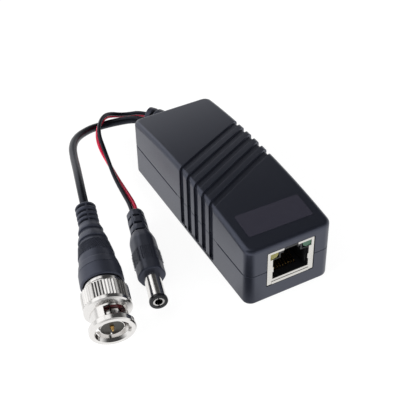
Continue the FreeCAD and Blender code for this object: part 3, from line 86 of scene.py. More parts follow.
# Leads, in millimetres: their diameters and lengths, and their routes. The power lead's points lie up to
# 1.2 mm beside the solid's, to follow the photograph, and the fourth number is the pair's roll in degrees.
COAX_DIAMETER, COAX_LENGTH = 2.9, 77.2
WIRE_DIAMETER, WIRE_SPACING = 1.45, 1.57
COAX_LEAD = [
    (-4.77, 51.26, 10.5), (-6.82, 53.88, 10.5), (-9.4, 56.1, 10.1), (-12.9, 57.9, 9.4),
    (-16.9, 58.8, 9.2), (-21.2, 58.7, 9.5), (-25.5, 57.5, 10.4), (-32.0, 53.2, 12.0),
    (-36.2, 46.7, 13.6), (-38.7, 38.9, 14.7), (-40.7, 31.5, 16.2), (-42.8, 24.1, 17.4),
    (-44.96, 16.22, 17.32), (-46.36, 10.65, 16.2),
]
POWER_LEAD = [
    (-2.41, 53.11, 11.3, 120), (-4.99, 56.42, 11.3, 120), (-8.1, 59.4, 9.9, 126), (-11.5, 61.0, 9.9, 132),
    (-15.4, 61.2, 11.3, 122), (-19.0, 58.8, 12.8, 106), (-22.9, 54.1, 13.1, 106), (-25.1, 49.5, 12.2, 116),
    (-25.6, 46.0, 10.3, 124), (-25.5, 43.4, 8.2, 104), (-25.5, 39.9, 6.4, 80), (-25.85, 35.2, 5.0, 56),
    (-26.2, 30.0, 4.4, 36), (-26.67, 24.0, 4.4, 20), (-27.18, 17.1, 4.45, 10), (-28.5, 12.28, 4.45, 10),
]

# Plugs: rear point in millimetres and heading
BNC_REAR, BNC_HEADING = (-46.36, 10.65, 16.2), (-0.2395, -0.952, -0.1908)
DC_REAR, DC_HEADING = (-28.5, 12.28, 4.45), (-0.265, -0.9642, 0.0)

# Housing: its outer form, in millimetres
CASE_WIDTH, CASE_LENGTH, CORNER_RADIUS = 30.5, 80.6, 3.0
CORNER_START = (CASE_WIDTH / 2 - CORNER_RADIUS, CASE_LENGTH / 2 - CORNER_RADIUS)
CROWN_HEIGHT, CROWN_RADIUS, CROWN_APEX_Y = 25.1, 270.0, -2.4
TOP_EDGE_RADIUS, BASE_EDGE_RADIUS, SEAM_HEIGHT = 1.6, 1.15, 12.03
# A face cuts across a rounded edge where its middle lies this deep under the form, in millimetres
CUT_FROM, CUT_TO = 0.006, 0.4
CUT_PASSES = 4
# A face lies along the skin where the cosine between its normal and the way out is more than this
ALONG_SKIN = 0.7
# Edges nearer the form than this are joints of its skin, but at the corners not those this near the seam
SKIN_DEPTH, SEAM_BAND = 0.1, 1.0
# Slivers: their area in square millimetres, and their width
SLIVER_AREA, SLIVER_WIDTH = 0.002, 0.01
# The other edges are rounded by this width where they turn by more than this angle in degrees
CASE_EDGE_WIDTH, CASE_EDGE_ANGLE = 0.17, 30
RELIEF_EDGE_WIDTH, RELIEF_EDGE_ANGLE = 0.15, 30
# Face corners this near the form and this much turned outwards are shaded as the form
SHADED_DEPTH, SHADED_COSINE = 0.03, 0.6

# Boot, in millimetres along the plug's axis and out from it: the steps of its round, the angle in degrees
# over which its edges stay sharp, and the radii of its tail
BOOT_STEPS, BOOT_EDGE_ANGLE = 54, 38
BOOT_TAIL_RADIUS, BOOT_LIP_RADIUS, BOOT_FLOOR_RADIUS = 3.45, 3.36, 3.1
# Notches of the tail: their middles and width, and the length of their lips and walls along the axis
BOOT_NOTCHES = (1.2, 3.4, 5.3, 7.2)
BOOT_NOTCH_WIDTH, BOOT_LIP, BOOT_WALL = 1.15, 0.12, 0.1
# Each side of the tail: the angles in degrees between which the notches go deeper, and how much
BOOT_CUTS = ((92, 258, 1.15), (-78, 78, 0.8))
# Band of raised diamonds on the cone: its start, the number and length of its rows, its first radius, the
# growth from row to row and a radius under all its faces, and the diamonds' inset and height
BAND_START, BAND_ROWS, BAND_ROW = 16.0, 6, 0.8
BAND_RADIUS, BAND_GROWTH, BAND_INSIDE = 4.88, 0.132, 4.7
DIAMOND_INSET, DIAMOND_RISE = 0.13, 0.24

# Grip, in millimetres along the plug's axis and out from it: the stations of its front part with the half
# width over its flats, the number of flats, the turn of the first in degrees, and the rounding of its edges
GRIP_SECTIONS = ((0.0, 2.6), (0.5, 2.87), (3.0, 2.87), (4.0, 3.01), (9.2, 3.01), (10.6, 3.17), (12.0, 3.55))
GRIP_FLATS, GRIP_TURN = 6, 90.0
GRIP_EDGE_WIDTH, GRIP_EDGE_ANGLE = 0.14, 32
# Slots of the grip: their middles, and how much deeper they are cut. A slot's floor lies nearer its middle
# than the reach, and further inside the flats than the step.
GRIP_SLOTS = (3.6, 7.35, 11.1)
GRIP_SLOT_DEPTH, GRIP_FLOOR_REACH, GRIP_FLOOR_STEP = 0.45, 0.5, 0.3
# Body of the grip: its half width over the flats at its start, and how much it grows over its length
BODY_START, BODY_LENGTH = 15.6, 14
BODY_REACH, BODY_GROWTH = 4.24, 0.12
# Raised dots of each flat: their width, the depth of their middle, the share of the width that is left on
# top, the first row's station, and the number and spacing of rows and columns
DOT_SIZE, DOT_SUNK, DOT_TOP = 0.32, 0.07, 0.6
DOT_START, DOT_ROWS, DOT_ROW = 20.6, 9, 0.7
DOT_COLUMNS, DOT_COLUMN = 7, 0.58


# Camera

def toward(azimuth, elevation):
    """Direction from the object to a camera or lamp at an azimuth and an elevation in degrees."""
    a, e = math.radians(azimuth), math.radians(elevation)
    return Vector((math.sin(a) * math.cos(e), -math.cos(a) * math.cos(e), math.sin(e)))


def make_camera():
    back = toward(CAMERA_AZIMUTH, CAMERA_ELEVATION)
    azimuth, roll = math.radians(CAMERA_AZIMUTH), math.radians(CAMERA_ROLL)
    right = Vector((math.cos(azimuth), math.sin(azimuth), 0))
    up = back.cross(right)
    right, up = (
        math.cos(roll) * right + math.sin(roll) * up,
        math.cos(roll) * up - math.sin(roll) * right,
    )
    data = bpy.data.cameras.new("camera")
    data.sensor_width = SENSOR_WIDTH
    data.lens = CAMERA_LENS
    data.clip_start = CAMERA_NEAR
    data.clip_end = CAMERA_FAR
    camera = bpy.data.objects.new("camera", data)
    bpy.context.scene.collection.objects.link(camera)
    turn = Matrix((right, up, back)).transposed().to_4x4()
    place = (Vector(CAMERA_AIM) + CAMERA_DISTANCE * back) * MM
    camera.matrix_world = Matrix.Translation(place) @ turn
    bpy.context.scene.camera = camera


# Cords

def spline_cord(name, points, diameter):
    """A round cord along points in millimetres."""
    data = bpy.data.curves.new(name, "CURVE")
    data.dimensions = "3D"
    data.bevel_depth = diameter / 2 * MM
    data.bevel_resolution = 7
    data.use_fill_caps = True
    data.resolution_u = 16
    spline = data.splines.new("NURBS")
    spline.points.add(len(points) - 1)
    for point, place in zip(spline.points, points):
        point.co = (*(Vector(place) * MM), 1.0)
    spline.order_u = 3
    spline.use_endpoint_u = True
    cord = bpy.data.objects.new(name, data)
    bpy.context.scene.collection.objects.link(cord)
    return cord


def wire_route(side):
    """Centre line of one wire of the pair: side -1 is red, 1 is black."""
    centres = [Vector(p[:3]) for p in POWER_LEAD]
    last = len(centres) - 1
    points = []
    for i, centre in enumerate(centres):
        # the pair starts and ends straight, so the first two points share a direction, and so do the last two
        before = last - 1 if i == last - 1 else max(i - 1, 0)
        after = 1 if i == 1 else min(i + 1, last)
        ahead = (centres[after] - centres[before]).normalized()
        right = Vector((ahead.y, -ahead.x, 0)).normalized()
        roll = math.radians(POWER_LEAD[i][3])
        across = right * math.cos(roll) + right.cross(ahead) * math.sin(roll)
        points.append(centre + across * side * WIRE_SPACING / 2)
    return points


def make_cords():
    coax = spline_cord("coax_lead", COAX_LEAD, COAX_DIAMETER)
    red = spline_cord("power_lead_red", wire_route(-1), WIRE_DIAMETER)
    black = spline_cord("power_lead_black", wire_route(1), WIRE_DIAMETER)
    return coax, red, black


# Materials

def linear(colour):
    """An sRGB hex colour as linear values with alpha."""
    parts = [int(colour[i:i + 2], 16) / 255 for i in (1, 3, 5)]
    return tuple(c / 12.92 if c <= 0.04045 else ((c + 0.055) / 1.055) ** 2.4 for c in parts) + (1.0,)


def grey(level):
    """A neutral colour of a linear level."""
    return (level, level, level, 1.0)


def fresh_nodes(owner):
    """The empty node tree of a material or a world."""
    owner.use_nodes = True
    owner.node_tree.nodes.clear()
    return owner.node_tree


def add(tree, kind, inputs=None, **settings):
    """Adds a shader node: an input takes a value or joins a socket, and settings go to the node itself."""
    node = tree.nodes.new(kind)
    for key, value in settings.items():
        setattr(node, key, value)
    for key, value in (inputs or {}).items():
        socket = node.inputs[key]
        if isinstance(value, bpy.types.NodeSocket):
            tree.links.new(value, socket)
        else:
            socket.default_value = value
    return node


def surface(name, inputs):
    """A material of one principled shader, with its node tree and the shader."""
    material = bpy.data.materials.new(name)
    tree = fresh_nodes(material)
    shader = add(tree, "ShaderNodeBsdfPrincipled", inputs)
    add(tree, "ShaderNodeOutputMaterial", {"Surface": shader.outputs["BSDF"]})
    return material, tree, shader


def grains(tree, size, detail=3.0):
    """Noise of a real grain size in millimetres."""
    place = add(tree, "ShaderNodeTexCoord")
    return add(tree, "ShaderNodeTexNoise", {
        "Vector": place.outputs["Object"], "Scale": 1 / (size * MM), "Detail": detail}).outputs["Fac"]


def spread(tree, noise, low, high):
    """A value that the noise moves between low and high."""
    return add(tree, "ShaderNodeMapRange", {
        "Value": noise, "From Min": NOISE_LOW, "From Max": NOISE_HIGH, "To Min": low, "To Max": high,
    }).outputs["Result"]


def blend_colours(tree, noise, first, second):
    """A colour that the noise moves between two. The numbers are the mix node's factor and colour sockets."""
    mix = add(tree, "ShaderNodeMix", {0: noise, 6: linear(first), 7: linear(second)}, data_type="RGBA")
    return mix.outputs[2]


def vary(tree, shader, cloud, colours, grain, roughness):
    """Lets one noise move the colour, and one the roughness."""
    tree.links.new(blend_colours(tree, cloud, *colours), shader.inputs["Base Color"])
    tree.links.new(spread(tree, grain, *roughness), shader.inputs["Roughness"])


def bump(tree, shader, noise, height, strength):
    """Raises the surface with the noise, by a height in millimetres."""
    node = add(tree, "ShaderNodeBump", {"Height": noise, "Distance": height * MM, "Strength": strength})
    tree.links.new(node.outputs["Normal"], shader.inputs["Normal"])


def moulded_abs():
    """Black ABS, moulded against a spark-eroded tool: a fine grain with a strong sheen at low angles."""
    material, tree, shader = surface("moulded_abs", {"IOR": 1.74, "Specular Tint": linear(COOL_SHEEN)})
    grain = grains(tree, 0.16, 2.0)
    vary(tree, shader, grains(tree, 9.0), ("#111319", "#15171e"), grain, (0.29, 0.39))
    bump(tree, shader, grain, 0.01, 0.5)
    return material


def moulded_pvc():
    """Moulded black PVC of the boot, the grip and the strain relief: softer in its sheen than the case."""
    material, tree, shader = surface("moulded_pvc", {"IOR": 1.6, "Specular Tint": linear(COOL_SHEEN)})
    grain = grains(tree, 0.22)
    vary(tree, shader, grains(tree, 6.0), ("#202229", "#272931"), grain, (0.34, 0.46))
    bump(tree, shader, grain, 0.012, 0.5)
    return material


def jacket(name, dark, light, rough):
    """Extruded PVC jacket: smooth and satin, and slightly uneven."""
    material, tree, shader = surface(name, {"IOR": 1.42, "Specular Tint": linear(COOL_SHEEN)})
    grain = grains(tree, 0.5)
    vary(tree, shader, grain, (dark, light), grain, (rough - 0.04, rough + 0.05))
    bump(tree, shader, grain, 0.01, 0.4)
    return material


def metal(name, dark, light, rough):
    """Plated or bare metal over a turned or pressed surface, with a fine uneven polish."""
    material, tree, shader = surface(name, {"Metallic": 1.0})
    grain = grains(tree, 0.35, 4.0)
    vary(tree, shader, grain, (dark, light), grain, (rough - 0.04, rough + 0.07))
    bump(tree, shader, grain, 0.0015, 0.2)
    return material


def plain_plastic(name, dark, light, rough):
    """Moulded, cast or laminated material with a slight change of tone."""
    material, tree, shader = surface(name, {"IOR": 1.5})
    grain = grains(tree, 0.6)
    vary(tree, shader, grain, (dark, light), grain, (rough - 0.05, rough + 0.05))
    return material


def make_materials():
    """The real materials by slot: box and label, jack, board, leads, and plugs."""
    return {
        "case_plastic": moulded_abs(),
        "label_film": plain_plastic("label_vinyl", "#26252f", "#2b2a35", 0.38),
        "screw_steel": metal("blackened_steel", "#3a3b40", "#4a4b50", 0.35),

        "shield_metal": metal("tinned_steel", "#c9c7c2", "#dedcd8", 0.26),
        "insert_plastic": plain_plastic("insert_nylon", "#0d0e10", "#141517", 0.45),
        "gold_contact": metal("gold_plate", "#c09a5c", "#d6b274", 0.25),
        "lamp_yellow": plain_plastic("lamp_olive_epoxy", "#6c682c", "#807b44", 0.25),
        "lamp_green": plain_plastic("lamp_green_epoxy", "#284c38", "#385c49", 0.25),

        "board_laminate": plain_plastic("solder_mask", "#1d4a2c", "#24563a", 0.35),
        "ferrite": plain_plastic("ferrite", "#26282b", "#33363a", 0.6),
        "ceramic": plain_plastic("glazed_ceramic", "#d8d4c8", "#e6e3da", 0.2),
        "can_metal": metal("aluminium_can", "#b8b8ba", "#d0d0d2", 0.3),

        "coax_jacket": jacket("coax_jacket_pvc", "#07080b", "#0c0d11", 0.3),
        "wire_red": jacket("red_wire_pvc", "#b81c3a", "#c62644", 0.34),
        "wire_black": jacket("black_wire_pvc", "#090a0e", "#0f1015", 0.3),

        "black_rubber": moulded_pvc(),
        "nickel": metal("bright_nickel", "#dedcda", "#e9e7e5", 0.15),
        "gasket_red": plain_plastic("gasket_silicone", "#3d0c10", "#4a1014", 0.5),
        "insulator": plain_plastic("insulator_pom", "#2b2926", "#35332f", 0.42),
        "tip_plastic": plain_plastic("tip_nylon", "#101114", "#18191d", 0.28),
    }


def paint(piece, material):
    piece.data.materials.clear()
    piece.data.materials.append(material)


# Modelling with the edit tools

def deselect():
    bpy.ops.object.select_all(action="DESELECT")


def take(piece):
    """Makes the piece the only selected and active one."""
    deselect()
    piece.select_set(True)
    bpy.context.view_layer.objects.active = piece


def open_faces(piece):
    """Enters edit mode on the piece with nothing selected."""
    take(piece)
    bpy.ops.object.mode_set(mode="EDIT")
    bpy.ops.mesh.select_mode(type="FACE")
    bpy.ops.mesh.select_all(action="DESELECT")


def pick_faces(piece, test):
    """Selects the faces whose centre in millimetres and normal pass the test."""
    bpy.ops.mesh.select_all(action="DESELECT")
    mesh = bmesh.from_edit_mesh(piece.data)
    for face in mesh.faces:
        face.select_set(test(face.calc_center_median() / MM, face.normal))
    bmesh.update_edit_mesh(piece.data)


def close():
    bpy.ops.object.mode_set(mode="OBJECT")


def sink(depth):
    """Extrudes the selected faces against their normals, by a depth in millimetres."""
    bpy.ops.mesh.extrude_region_shrink_fatten(TRANSFORM_OT_shrink_fatten={"value": -depth * MM})


def apply_modifier(piece, kind, **settings):
    take(piece)
    modifier = piece.modifiers.new(kind.lower(), kind)
    for key, value in settings.items():
        setattr(modifier, key, value)
    bpy.ops.object.modifier_apply(modifier=modifier.name)


def soften(piece, width, angle, limit="ANGLE"):
    """Rounds the sharp edges by a width in millimetres and shades the faces smooth between them."""
    apply_modifier(
        piece, "BEVEL", width=width * MM, segments=2, limit_method=limit,
        angle_limit=math.radians(angle), use_clamp_overlap=False, miter_outer="MITER_ARC")
    shade(piece, angle)


def shade(piece, angle):
    """Shades the piece smooth but for the edges that turn by more than an angle in degrees."""
    take(piece)
    bpy.ops.object.shade_smooth_by_angle(angle=math.radians(angle))
    apply_modifier(piece, "WEIGHTED_NORMAL", keep_sharp=True)


def merged(node, name, flat=0.05):
    """A copy of a solid with its triangles joined, those within a flat angle in degrees into whole faces."""
    piece = bpy.data.objects.new(name, NODES[node].data.copy())
    bpy.context.scene.collection.objects.link(piece)
    open_faces(piece)
    bpy.ops.mesh.select_all(action="SELECT")
    bpy.ops.mesh.remove_doubles(threshold=0.001 * MM)
    if flat:
        bpy.ops.mesh.dissolve_limited(angle_limit=math.radians(flat))
    close()
    return piece


def turned(name, profile, steps):
    """A profile of stations and radii in millimetres, drawn point by point and spun round the Z axis."""
    deselect()
    bpy.ops.mesh.primitive_plane_add(size=MM, location=(0, 0, 0))
    piece = bpy.context.object
    piece.name = name
    bpy.ops.object.mode_set(mode="EDIT")
    bpy.ops.mesh.select_mode(type="VERT")
    bpy.ops.mesh.select_all(action="SELECT")
    bpy.ops.mesh.merge(type="CENTER")
    bpy.ops.transform.translate(value=(profile[0][1] * MM, 0, profile[0][0] * MM))
    for (s0, r0), (s1, r1) in zip(profile, profile[1:]):
        step = ((r1 - r0) * MM, 0, (s1 - s0) * MM)
        bpy.ops.mesh.extrude_region_move(TRANSFORM_OT_translate={"value": step})
    bpy.ops.mesh.select_all(action="SELECT")
    bpy.ops.mesh.spin(steps=steps, angle=2 * math.pi, center=(0, 0, 0), axis=(0, 0, 1))
    bpy.ops.mesh.select_all(action="SELECT")
    bpy.ops.mesh.remove_doubles(threshold=0.002 * MM)
    bpy.ops.mesh.normals_make_consistent(inside=False)
    close()
    return piece


def plug_seat(rear, heading):
    """Placement of a plug: Z along its heading, X to the right seen from the front, Y up."""
    ahead = Vector(heading).normalized()
    right = Vector((-ahead.y, ahead.x, 0)).normalized()
    turn = Matrix((right, ahead.cross(right), ahead)).transposed().to_4x4()
    return Matrix.Translation(Vector(rear) * MM) @ turn


def seat(piece, placement):
    """Moves the piece's mesh by a placement, and leaves its origin where it is."""
    take(piece)
    piece.matrix_world = placement
    bpy.ops.object.transform_apply(location=True, rotation=True, scale=True)


def fit(piece, slot, body, *nodes):
    """Gives the piece its material and lets it stand for its solids on their body."""
    paint(piece, MATERIALS[slot])
    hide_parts(*nodes)
    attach(piece, body)
    return piece


def radius_of(point):
    """Distance of a point from the Z axis."""
    return math.hypot(point.x, point.y)


def is_turned_between(point, low, high):
    """Whether a point's angle round the Z axis in degrees lies between two, and the lower may be negative."""
    turn = math.degrees(math.atan2(point.y, point.x)) % 360
    return low < turn < high or low < turn - 360 < high


# Housing

def toward_outside(point):
    """Direction out of the closed housing at a point in millimetres, and the depth under its outer face."""
    across = [abs(point.x) - CORNER_START[0], abs(point.y) - CORNER_START[1]]
    if min(across) > 0:
        side = Vector((across[0], across[1], 0)).normalized()
        flat = math.hypot(*across) - CORNER_RADIUS
    else:
        side = Vector((1, 0, 0)) if across[0] > across[1] else Vector((0, 1, 0))
        flat = max(across) - CORNER_RADIUS
    side = Vector((math.copysign(side.x, point.x), math.copysign(side.y, point.y), 0))
    arch = Vector((0, point.y - CROWN_APEX_Y, point.z - CROWN_HEIGHT + CROWN_RADIUS))
    level, roof, edge = arch.length - CROWN_RADIUS, arch.normalized(), TOP_EDGE_RADIUS
    if point.z < BASE_EDGE_RADIUS:
        level, roof, edge = -point.z, Vector((0, 0, -1)), BASE_EDGE_RADIUS
    if flat > -edge and level > -edge:
        out = side * (flat + edge) + roof * (level + edge)
        return out.normalized(), edge - out.length
    return (side, -flat) if flat > level else (roof, -level)


def cuts_across(place, normal):
    """Whether a face with its middle at a place cuts across a rounded edge."""
    out, depth = toward_outside(place)
    return CUT_FROM < depth < CUT_TO and out.dot(normal) > ALONG_SKIN


def fill_rounds(piece):
    """Divides the faces that cut across a rounded edge, and moves their new points out to the round."""
    mesh = piece.data
    for _ in range(CUT_PASSES):
        before = len(mesh.vertices)
        open_faces(piece)
        pick_faces(piece, cuts_across)
        bpy.ops.mesh.subdivide(number_cuts=1)
        close()
        for point in mesh.vertices[before:]:
            out, depth = toward_outside(point.co / MM)
            if depth < CUT_TO:
                point.co += out * depth * MM


def clear_slivers(piece):
    """Leaves only triangles, without those that have no width."""
    open_faces(piece)
    bpy.ops.mesh.select_all(action="SELECT")
    bpy.ops.mesh.quads_convert_to_tris(quad_method="BEAUTY", ngon_method="BEAUTY")
    bpy.ops.mesh.dissolve_degenerate(threshold=SLIVER_WIDTH * MM)
    bpy.ops.mesh.select_all(action="SELECT")
    bpy.ops.mesh.quads_convert_to_tris(quad_method="BEAUTY", ngon_method="BEAUTY")
    close()


def is_own_edge(edge):
    """Whether an edge is one of the form's own, and not a joint between the narrow faces of its skin."""
    middle = (edge.verts[0].co + edge.verts[1].co) / 2 / MM
    out, depth = toward_outside(middle)
    in_corner = abs(middle.x) > CORNER_START[0] and abs(middle.y) > CORNER_START[1]
    along = all(out.dot(face.normal) > ALONG_SKIN for face in edge.link_faces)
    if abs(depth) < SKIN_DEPTH and (along or in_corner and abs(middle.z - SEAM_HEIGHT) > SEAM_BAND):
        return False
    if any(face.calc_area() < SLIVER_AREA * MM * MM for face in edge.link_faces):
        return False
    return edge.is_manifold and edge.calc_face_angle() > math.radians(CASE_EDGE_ANGLE)


def mark_own_edges(mesh):
    shape = bmesh.new()
    shape.from_mesh(mesh)
    weight = shape.edges.layers.float.new("bevel_weight_edge")
    for edge in shape.edges:
        if is_own_edge(edge):
            edge[weight] = 1.0
    shape.to_mesh(mesh)
    shape.free()


def shade_as_form(mesh):
    """Gives the corners of the outer faces the direction of the rounded form."""
    normals = [Vector(n.vector) for n in mesh.corner_normals]
    for face in mesh.polygons:
        for corner in face.loop_indices:
            out, depth = toward_outside(mesh.vertices[mesh.loops[corner].vertex_index].co / MM)
            if abs(depth) < SHADED_DEPTH and out.dot(face.normal) > SHADED_COSINE:
                normals[corner] = out
    mesh.normals_split_custom_set(normals)


def make_half(node, name):
    """A half of the housing, its outer face shaded as one even skin over the rounded edges."""
    piece = merged(node, name, flat=None)
    fill_rounds(piece)
    clear_slivers(piece)
    mark_own_edges(piece.data)
    soften(piece, CASE_EDGE_WIDTH, CASE_EDGE_ANGLE, limit="WEIGHT")
    shade_as_form(piece.data)
    fit(piece, "case_plastic", "balun", node)


# Strain relief

def make_relief():
    relief = merged("strain_relief", "cable_relief")
    soften(relief, RELIEF_EDGE_WIDTH, RELIEF_EDGE_ANGLE)
    fit(relief, "black_rubber", "balun", "strain_relief")


# Boot of the bayonet plug

def boot_profile():
    """Stations and radii of the boot: rings, two bells with undercuts, the cone, and the collar."""
    tail = [(0.0, 1.6), (0.0, 2.9), (0.15, 3.25), (0.5, 3.42)]
    for notch in BOOT_NOTCHES:
        start, end = notch - BOOT_NOTCH_WIDTH / 2, notch + BOOT_NOTCH_WIDTH / 2
        tail += [
            (start - BOOT_LIP, BOOT_TAIL_RADIUS), (start, BOOT_LIP_RADIUS),
            (start + BOOT_WALL, BOOT_FLOOR_RADIUS), (end - BOOT_WALL, BOOT_FLOOR_RADIUS),
            (end, BOOT_LIP_RADIUS), (end + BOOT_LIP, BOOT_TAIL_RADIUS),
        ]
    bells = [
        (8.2, 3.45), (8.5, 3.5), (9.5, 3.85), (10.3, 4.08), (10.5, 4.06), (10.62, 3.9), (10.66, 3.5),
        (11.0, 3.55), (11.8, 4.0), (12.8, 4.45), (14.2, 4.82), (14.45, 4.84), (14.62, 4.7), (14.68, 4.35),
        (15.0, 4.45), (15.5, 4.68),
    ]
    band = [(BAND_START + BAND_ROW * i, BAND_RADIUS + BAND_GROWTH * i) for i in range(BAND_ROWS + 1)]
    collar = [
        (21.4, 5.8), (22.4, 5.92), (23.5, 6.04), (23.62, 6.06), (23.8, 6.28), (24.0, 6.34), (26.2, 6.72),
        (26.26, 6.62), (26.4, 6.62), (26.46, 6.8), (28.5, 6.87), (30.6, 6.9), (30.95, 6.84), (31.2, 6.66),
        (31.3, 6.4), (31.22, 6.24), (31.0, 6.18), (29.8, 6.15), (29.8, 4.8),
    ]
    return tail + bells + band + collar


def is_notch_floor(place):
    """Whether a place in millimetres is on the floor of a notch."""
    near = any(abs(place.z - notch) < BOOT_NOTCH_WIDTH / 2 - BOOT_WALL for notch in BOOT_NOTCHES)
    return near and radius_of(place) < BOOT_FLOOR_RADIUS + BOOT_WALL


def is_band(place, margin=0.0):
    """Whether a place in millimetres is on the band of diamonds, away from its ends by a margin."""
    end = BAND_START + BAND_ROW * BAND_ROWS
    return BAND_START + margin < place.z < end - margin and radius_of(place) > BAND_INSIDE


def raise_diamonds(boot):
    """Divides the band's faces to their middles, joins the parts across the old edges and raises each."""
    pick_faces(boot, lambda place, normal: is_band(place))
    mesh = bmesh.from_edit_mesh(boot.data)
    corners = {point.index for face in mesh.faces if face.select for point in face.verts}
    bpy.ops.mesh.poke()
    mesh = bmesh.from_edit_mesh(boot.data)
    middles = {point.index for point in mesh.verts if point.select} - corners
    bpy.ops.mesh.select_mode(type="EDGE")
    mesh = bmesh.from_edit_mesh(boot.data)
    for edge in mesh.edges:
        between = len(edge.link_faces) == 2 and all(
            any(point.index in middles for point in face.verts) for face in edge.link_faces)
        edge.select_set(between and not any(point.index in middles for point in edge.verts))
    bmesh.update_edit_mesh(boot.data)
    bpy.ops.mesh.dissolve_edges(use_verts=False)
    bpy.ops.mesh.select_mode(type="FACE")
    pick_faces(boot, lambda place, normal: is_band(place, BAND_ROW / 4))
    bpy.ops.mesh.inset(thickness=DIAMOND_INSET * MM, depth=DIAMOND_RISE * MM, use_individual=True)


def make_boot():
    """Boot with a notched tail: its notches go deeper but for a web along the mould line on each side."""
    boot = turned("video_plug_boot", boot_profile(), BOOT_STEPS)
    open_faces(boot)
    for low, high, depth in BOOT_CUTS:
        pick_faces(boot, lambda place, normal: is_notch_floor(place) and is_turned_between(place, low, high))
        sink(depth)
    raise_diamonds(boot)
    close()
    shade(boot, BOOT_EDGE_ANGLE)
    seat(boot, BNC_SEAT)
    return fit(boot, "black_rubber", "balun", "bnc_boot")


# Grip of the barrel plug

def grip_reach(station):
    """Half width of the grip's front part over its flats, at a station in millimetres."""
    for (s0, r0), (s1, r1) in zip(GRIP_SECTIONS, GRIP_SECTIONS[1:]):
        if station <= s1:
            return r0 + (r1 - r0) * (station - s0) / (s1 - s0)
    return GRIP_SECTIONS[-1][1]


def is_slot_floor(place, normal):
    """Whether a face is the floor of a slot: it looks outwards, near a slot's middle and inside the flats."""
    in_slot = any(abs(place.z - slot) < GRIP_FLOOR_REACH for slot in GRIP_SLOTS)
    looks_out = normal.x * place.x + normal.y * place.y > 0.5
    return in_slot and looks_out and radius_of(place) < grip_reach(place.z) - GRIP_FLOOR_STEP


def make_dot():
    """One raised dot, sunk a little in the flat that carries it."""
    deselect()
    bpy.ops.mesh.primitive_cube_add(size=DOT_SIZE * MM, location=(0, 0, -DOT_SUNK * MM))
    dot = bpy.context.object
    dot.name = "grip_dot"
    bpy.ops.object.mode_set(mode="EDIT")
    bpy.ops.mesh.select_mode(type="FACE")
    pick_faces(dot, lambda place, normal: normal.z > 0.9)
    bpy.ops.transform.resize(value=(DOT_TOP, DOT_TOP, 1.0))
    close()
    return dot


def dot_places():
    """Placement of every raised dot on the grip as it stands along the Z axis."""
    for flat in range(GRIP_FLATS):
        turn = math.radians(360 / GRIP_FLATS * flat + GRIP_TURN)
        out = Vector((math.cos(turn), math.sin(turn), 0))
        side = Vector((-out.y, out.x, 0))
        axes = Matrix((side, Vector((0, 0, 1)), out)).transposed().to_4x4()
        for row in range(DOT_ROWS):
            station = DOT_START + DOT_ROW * row
            reach = BODY_REACH + (station - BODY_START) * BODY_GROWTH / BODY_LENGTH
            for column in range(DOT_COLUMNS):
                across = (column - (DOT_COLUMNS - 1) / 2) * DOT_COLUMN
                place = out * reach + side * across + Vector((0, 0, station))
                yield Matrix.Translation(place * MM) @ axes


def make_dots():
    """The raised dots, each a copy of one with a mesh of its own."""
    dot = make_dot()
    dots = []
    for place in dot_places():
        copy = dot.copy()
        copy.data = dot.data.copy()
        bpy.context.scene.collection.objects.link(copy)
        copy.matrix_world = place
        dots.append(copy)
    bpy.data.objects.remove(dot)
    return dots


def make_grip():
    """Six-sided grip with deep rounded slots, and small raised dots on its flats."""
    grip = merged("dc_plug_grip", "power_plug_grip")
    seat(grip, DC_SEAT.inverted())
    open_faces(grip)
    pick_faces(grip, is_slot_floor)
    sink(GRIP_SLOT_DEPTH)
    close()
    soften(grip, GRIP_EDGE_WIDTH, GRIP_EDGE_ANGLE)
    dots = make_dots()
    take(grip)
    for dot in dots:
        dot.select_set(True)
    bpy.ops.object.join()
    seat(grip, DC_SEAT)
    return fit(grip, "black_rubber", "balun", "dc_plug_grip")


# Stage

def make_stage():
    """White paper floor that keeps the object's shadow, and a painted dark reflection: a black patch that
    only reflections see.
    """
    bpy.ops.mesh.primitive_plane_add(size=FLOOR_SIZE, location=(0, 0, 0))
    floor = bpy.context.object
    floor.name = "floor"
    material = bpy.data.materials.new("floor_paper")
    tree = fresh_nodes(material)
    rays = add(tree, "ShaderNodeLightPath")
    seen = add(tree, "ShaderNodeMath", {
        0: rays.outputs["Is Camera Ray"], 1: rays.outputs["Is Glossy Ray"]}, operation="MAXIMUM")
    share = add(tree, "ShaderNodeMath", {0: seen.outputs[0], 1: FLOOR_GLOW_SHARE}, operation="MULTIPLY")
    matt = add(tree, "ShaderNodeBsdfDiffuse", {"Color": grey(FLOOR_ALBEDO)})
    glow = add(tree, "ShaderNodeEmission", {"Strength": FLOOR_GLOW})
    paper = add(tree, "ShaderNodeMixShader", {0: share.outputs[0], 1: matt.outputs[0], 2: glow.outputs[0]})
    # painted dark reflection: near the front left corner, glossy rays see a black patch instead of the white
    # floor
    place = add(tree, "ShaderNodeTexCoord")
    away = add(tree, "ShaderNodeVectorMath", {
        0: place.outputs["Object"], 1: Vector(DARK_REFLECTION_MIDDLE) * MM}, operation="DISTANCE")
    near = add(tree, "ShaderNodeMapRange", {
        "Value": away.outputs["Value"], "From Min": DARK_REFLECTION_EDGE * MM, "From Max": DARK_REFLECTION_FULL * MM})
    cover = add(tree, "ShaderNodeMath", {
        0: rays.outputs["Is Glossy Ray"], 1: near.outputs["Result"]}, operation="MULTIPLY")
    dark_reflection = add(tree, "ShaderNodeBsdfDiffuse", {"Color": grey(DARK_REFLECTION_ALBEDO)})
    both = add(tree, "ShaderNodeMixShader", {0: cover.outputs[0], 1: paper.outputs[0], 2: dark_reflection.outputs[0]})
    add(tree, "ShaderNodeOutputMaterial", {"Surface": both.outputs[0]})
    paint(floor, material)


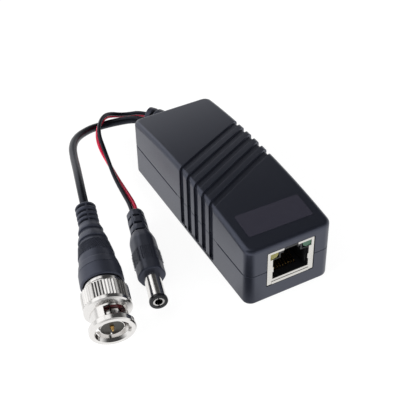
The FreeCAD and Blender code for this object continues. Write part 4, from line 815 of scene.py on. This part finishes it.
def make_world():
    """White to the camera; else bright round the horizon and in the soft boxes, and dark overhead."""
    world = bpy.data.worlds.new("studio")
    bpy.context.scene.world = world
    tree = fresh_nodes(world)
    rays = add(tree, "ShaderNodeLightPath")
    place = add(tree, "ShaderNodeTexCoord")
    parts = add(tree, "ShaderNodeSeparateXYZ", {"Vector": place.outputs["Generated"]})
    light = add(tree, "ShaderNodeMapRange", {
        "Value": parts.outputs["Z"], "From Min": HORIZON_TOP, "From Max": ZENITH_START,
        "To Min": HORIZON_LIGHT, "To Max": ZENITH_LIGHT})
    for middle, edge, full, level in SOFT_BOXES:
        heading = add(tree, "ShaderNodeVectorMath", {
            0: place.outputs["Generated"], 1: Vector(middle).normalized()}, operation="DOT_PRODUCT")
        soft_box = add(tree, "ShaderNodeMapRange", {
            "Value": heading.outputs["Value"], "From Min": edge, "From Max": full, "To Max": level})
        light = add(tree, "ShaderNodeMath", {
            0: light.outputs[0], 1: soft_box.outputs[0]}, operation="MAXIMUM")
    seen = add(tree, "ShaderNodeMath", {
        0: rays.outputs["Is Camera Ray"], 1: light.outputs[0]}, operation="MAXIMUM")
    sky = add(tree, "ShaderNodeBackground", {"Color": grey(1.0), "Strength": seen.outputs[0]})
    add(tree, "ShaderNodeOutputWorld", {"Surface": sky.outputs[0]})


def make_lamp(name, size, power, azimuth, elevation, distance):
    """A soft lamp that faces the object and isn't mirrored in it."""
    data = bpy.data.lights.new(name, "AREA")
    data.shape = "RECTANGLE"
    data.size, data.size_y = size
    data.energy = power
    lamp = bpy.data.objects.new(name, data)
    bpy.context.scene.collection.objects.link(lamp)
    back = toward(azimuth, elevation)
    lamp.location = Vector(CAMERA_AIM) * MM + back * distance
    lamp.rotation_euler = back.to_track_quat("Z", "Y").to_euler()
    lamp.visible_glossy = False


make_camera()
MATERIALS = make_materials()
SLOTS = {s["node"]: s["material_slot"] for s in frame["record"]["subparts"]}
BNC_SEAT = plug_seat(BNC_REAR, BNC_HEADING)
DC_SEAT = plug_seat(DC_REAR, DC_HEADING)
for node, piece in NODES.items():
    paint(piece, MATERIALS[SLOTS[node]])
coax_lead, red_lead, black_lead = make_cords()
fit(coax_lead, "coax_jacket", "balun", "coax_cord")
fit(red_lead, "wire_red", "balun", "power_wire_red")
fit(black_lead, "wire_black", "balun", "power_wire_black")
boot = make_boot()
grip = make_grip()
make_half("top_cover", "cover_moulding")
make_half("bottom_shell", "shell_moulding")
make_relief()

make_stage()
make_world()
for name, settings in LAMPS.items():
    make_lamp(name, *settings)
bpy.context.scene.view_settings.view_transform = "Standard"
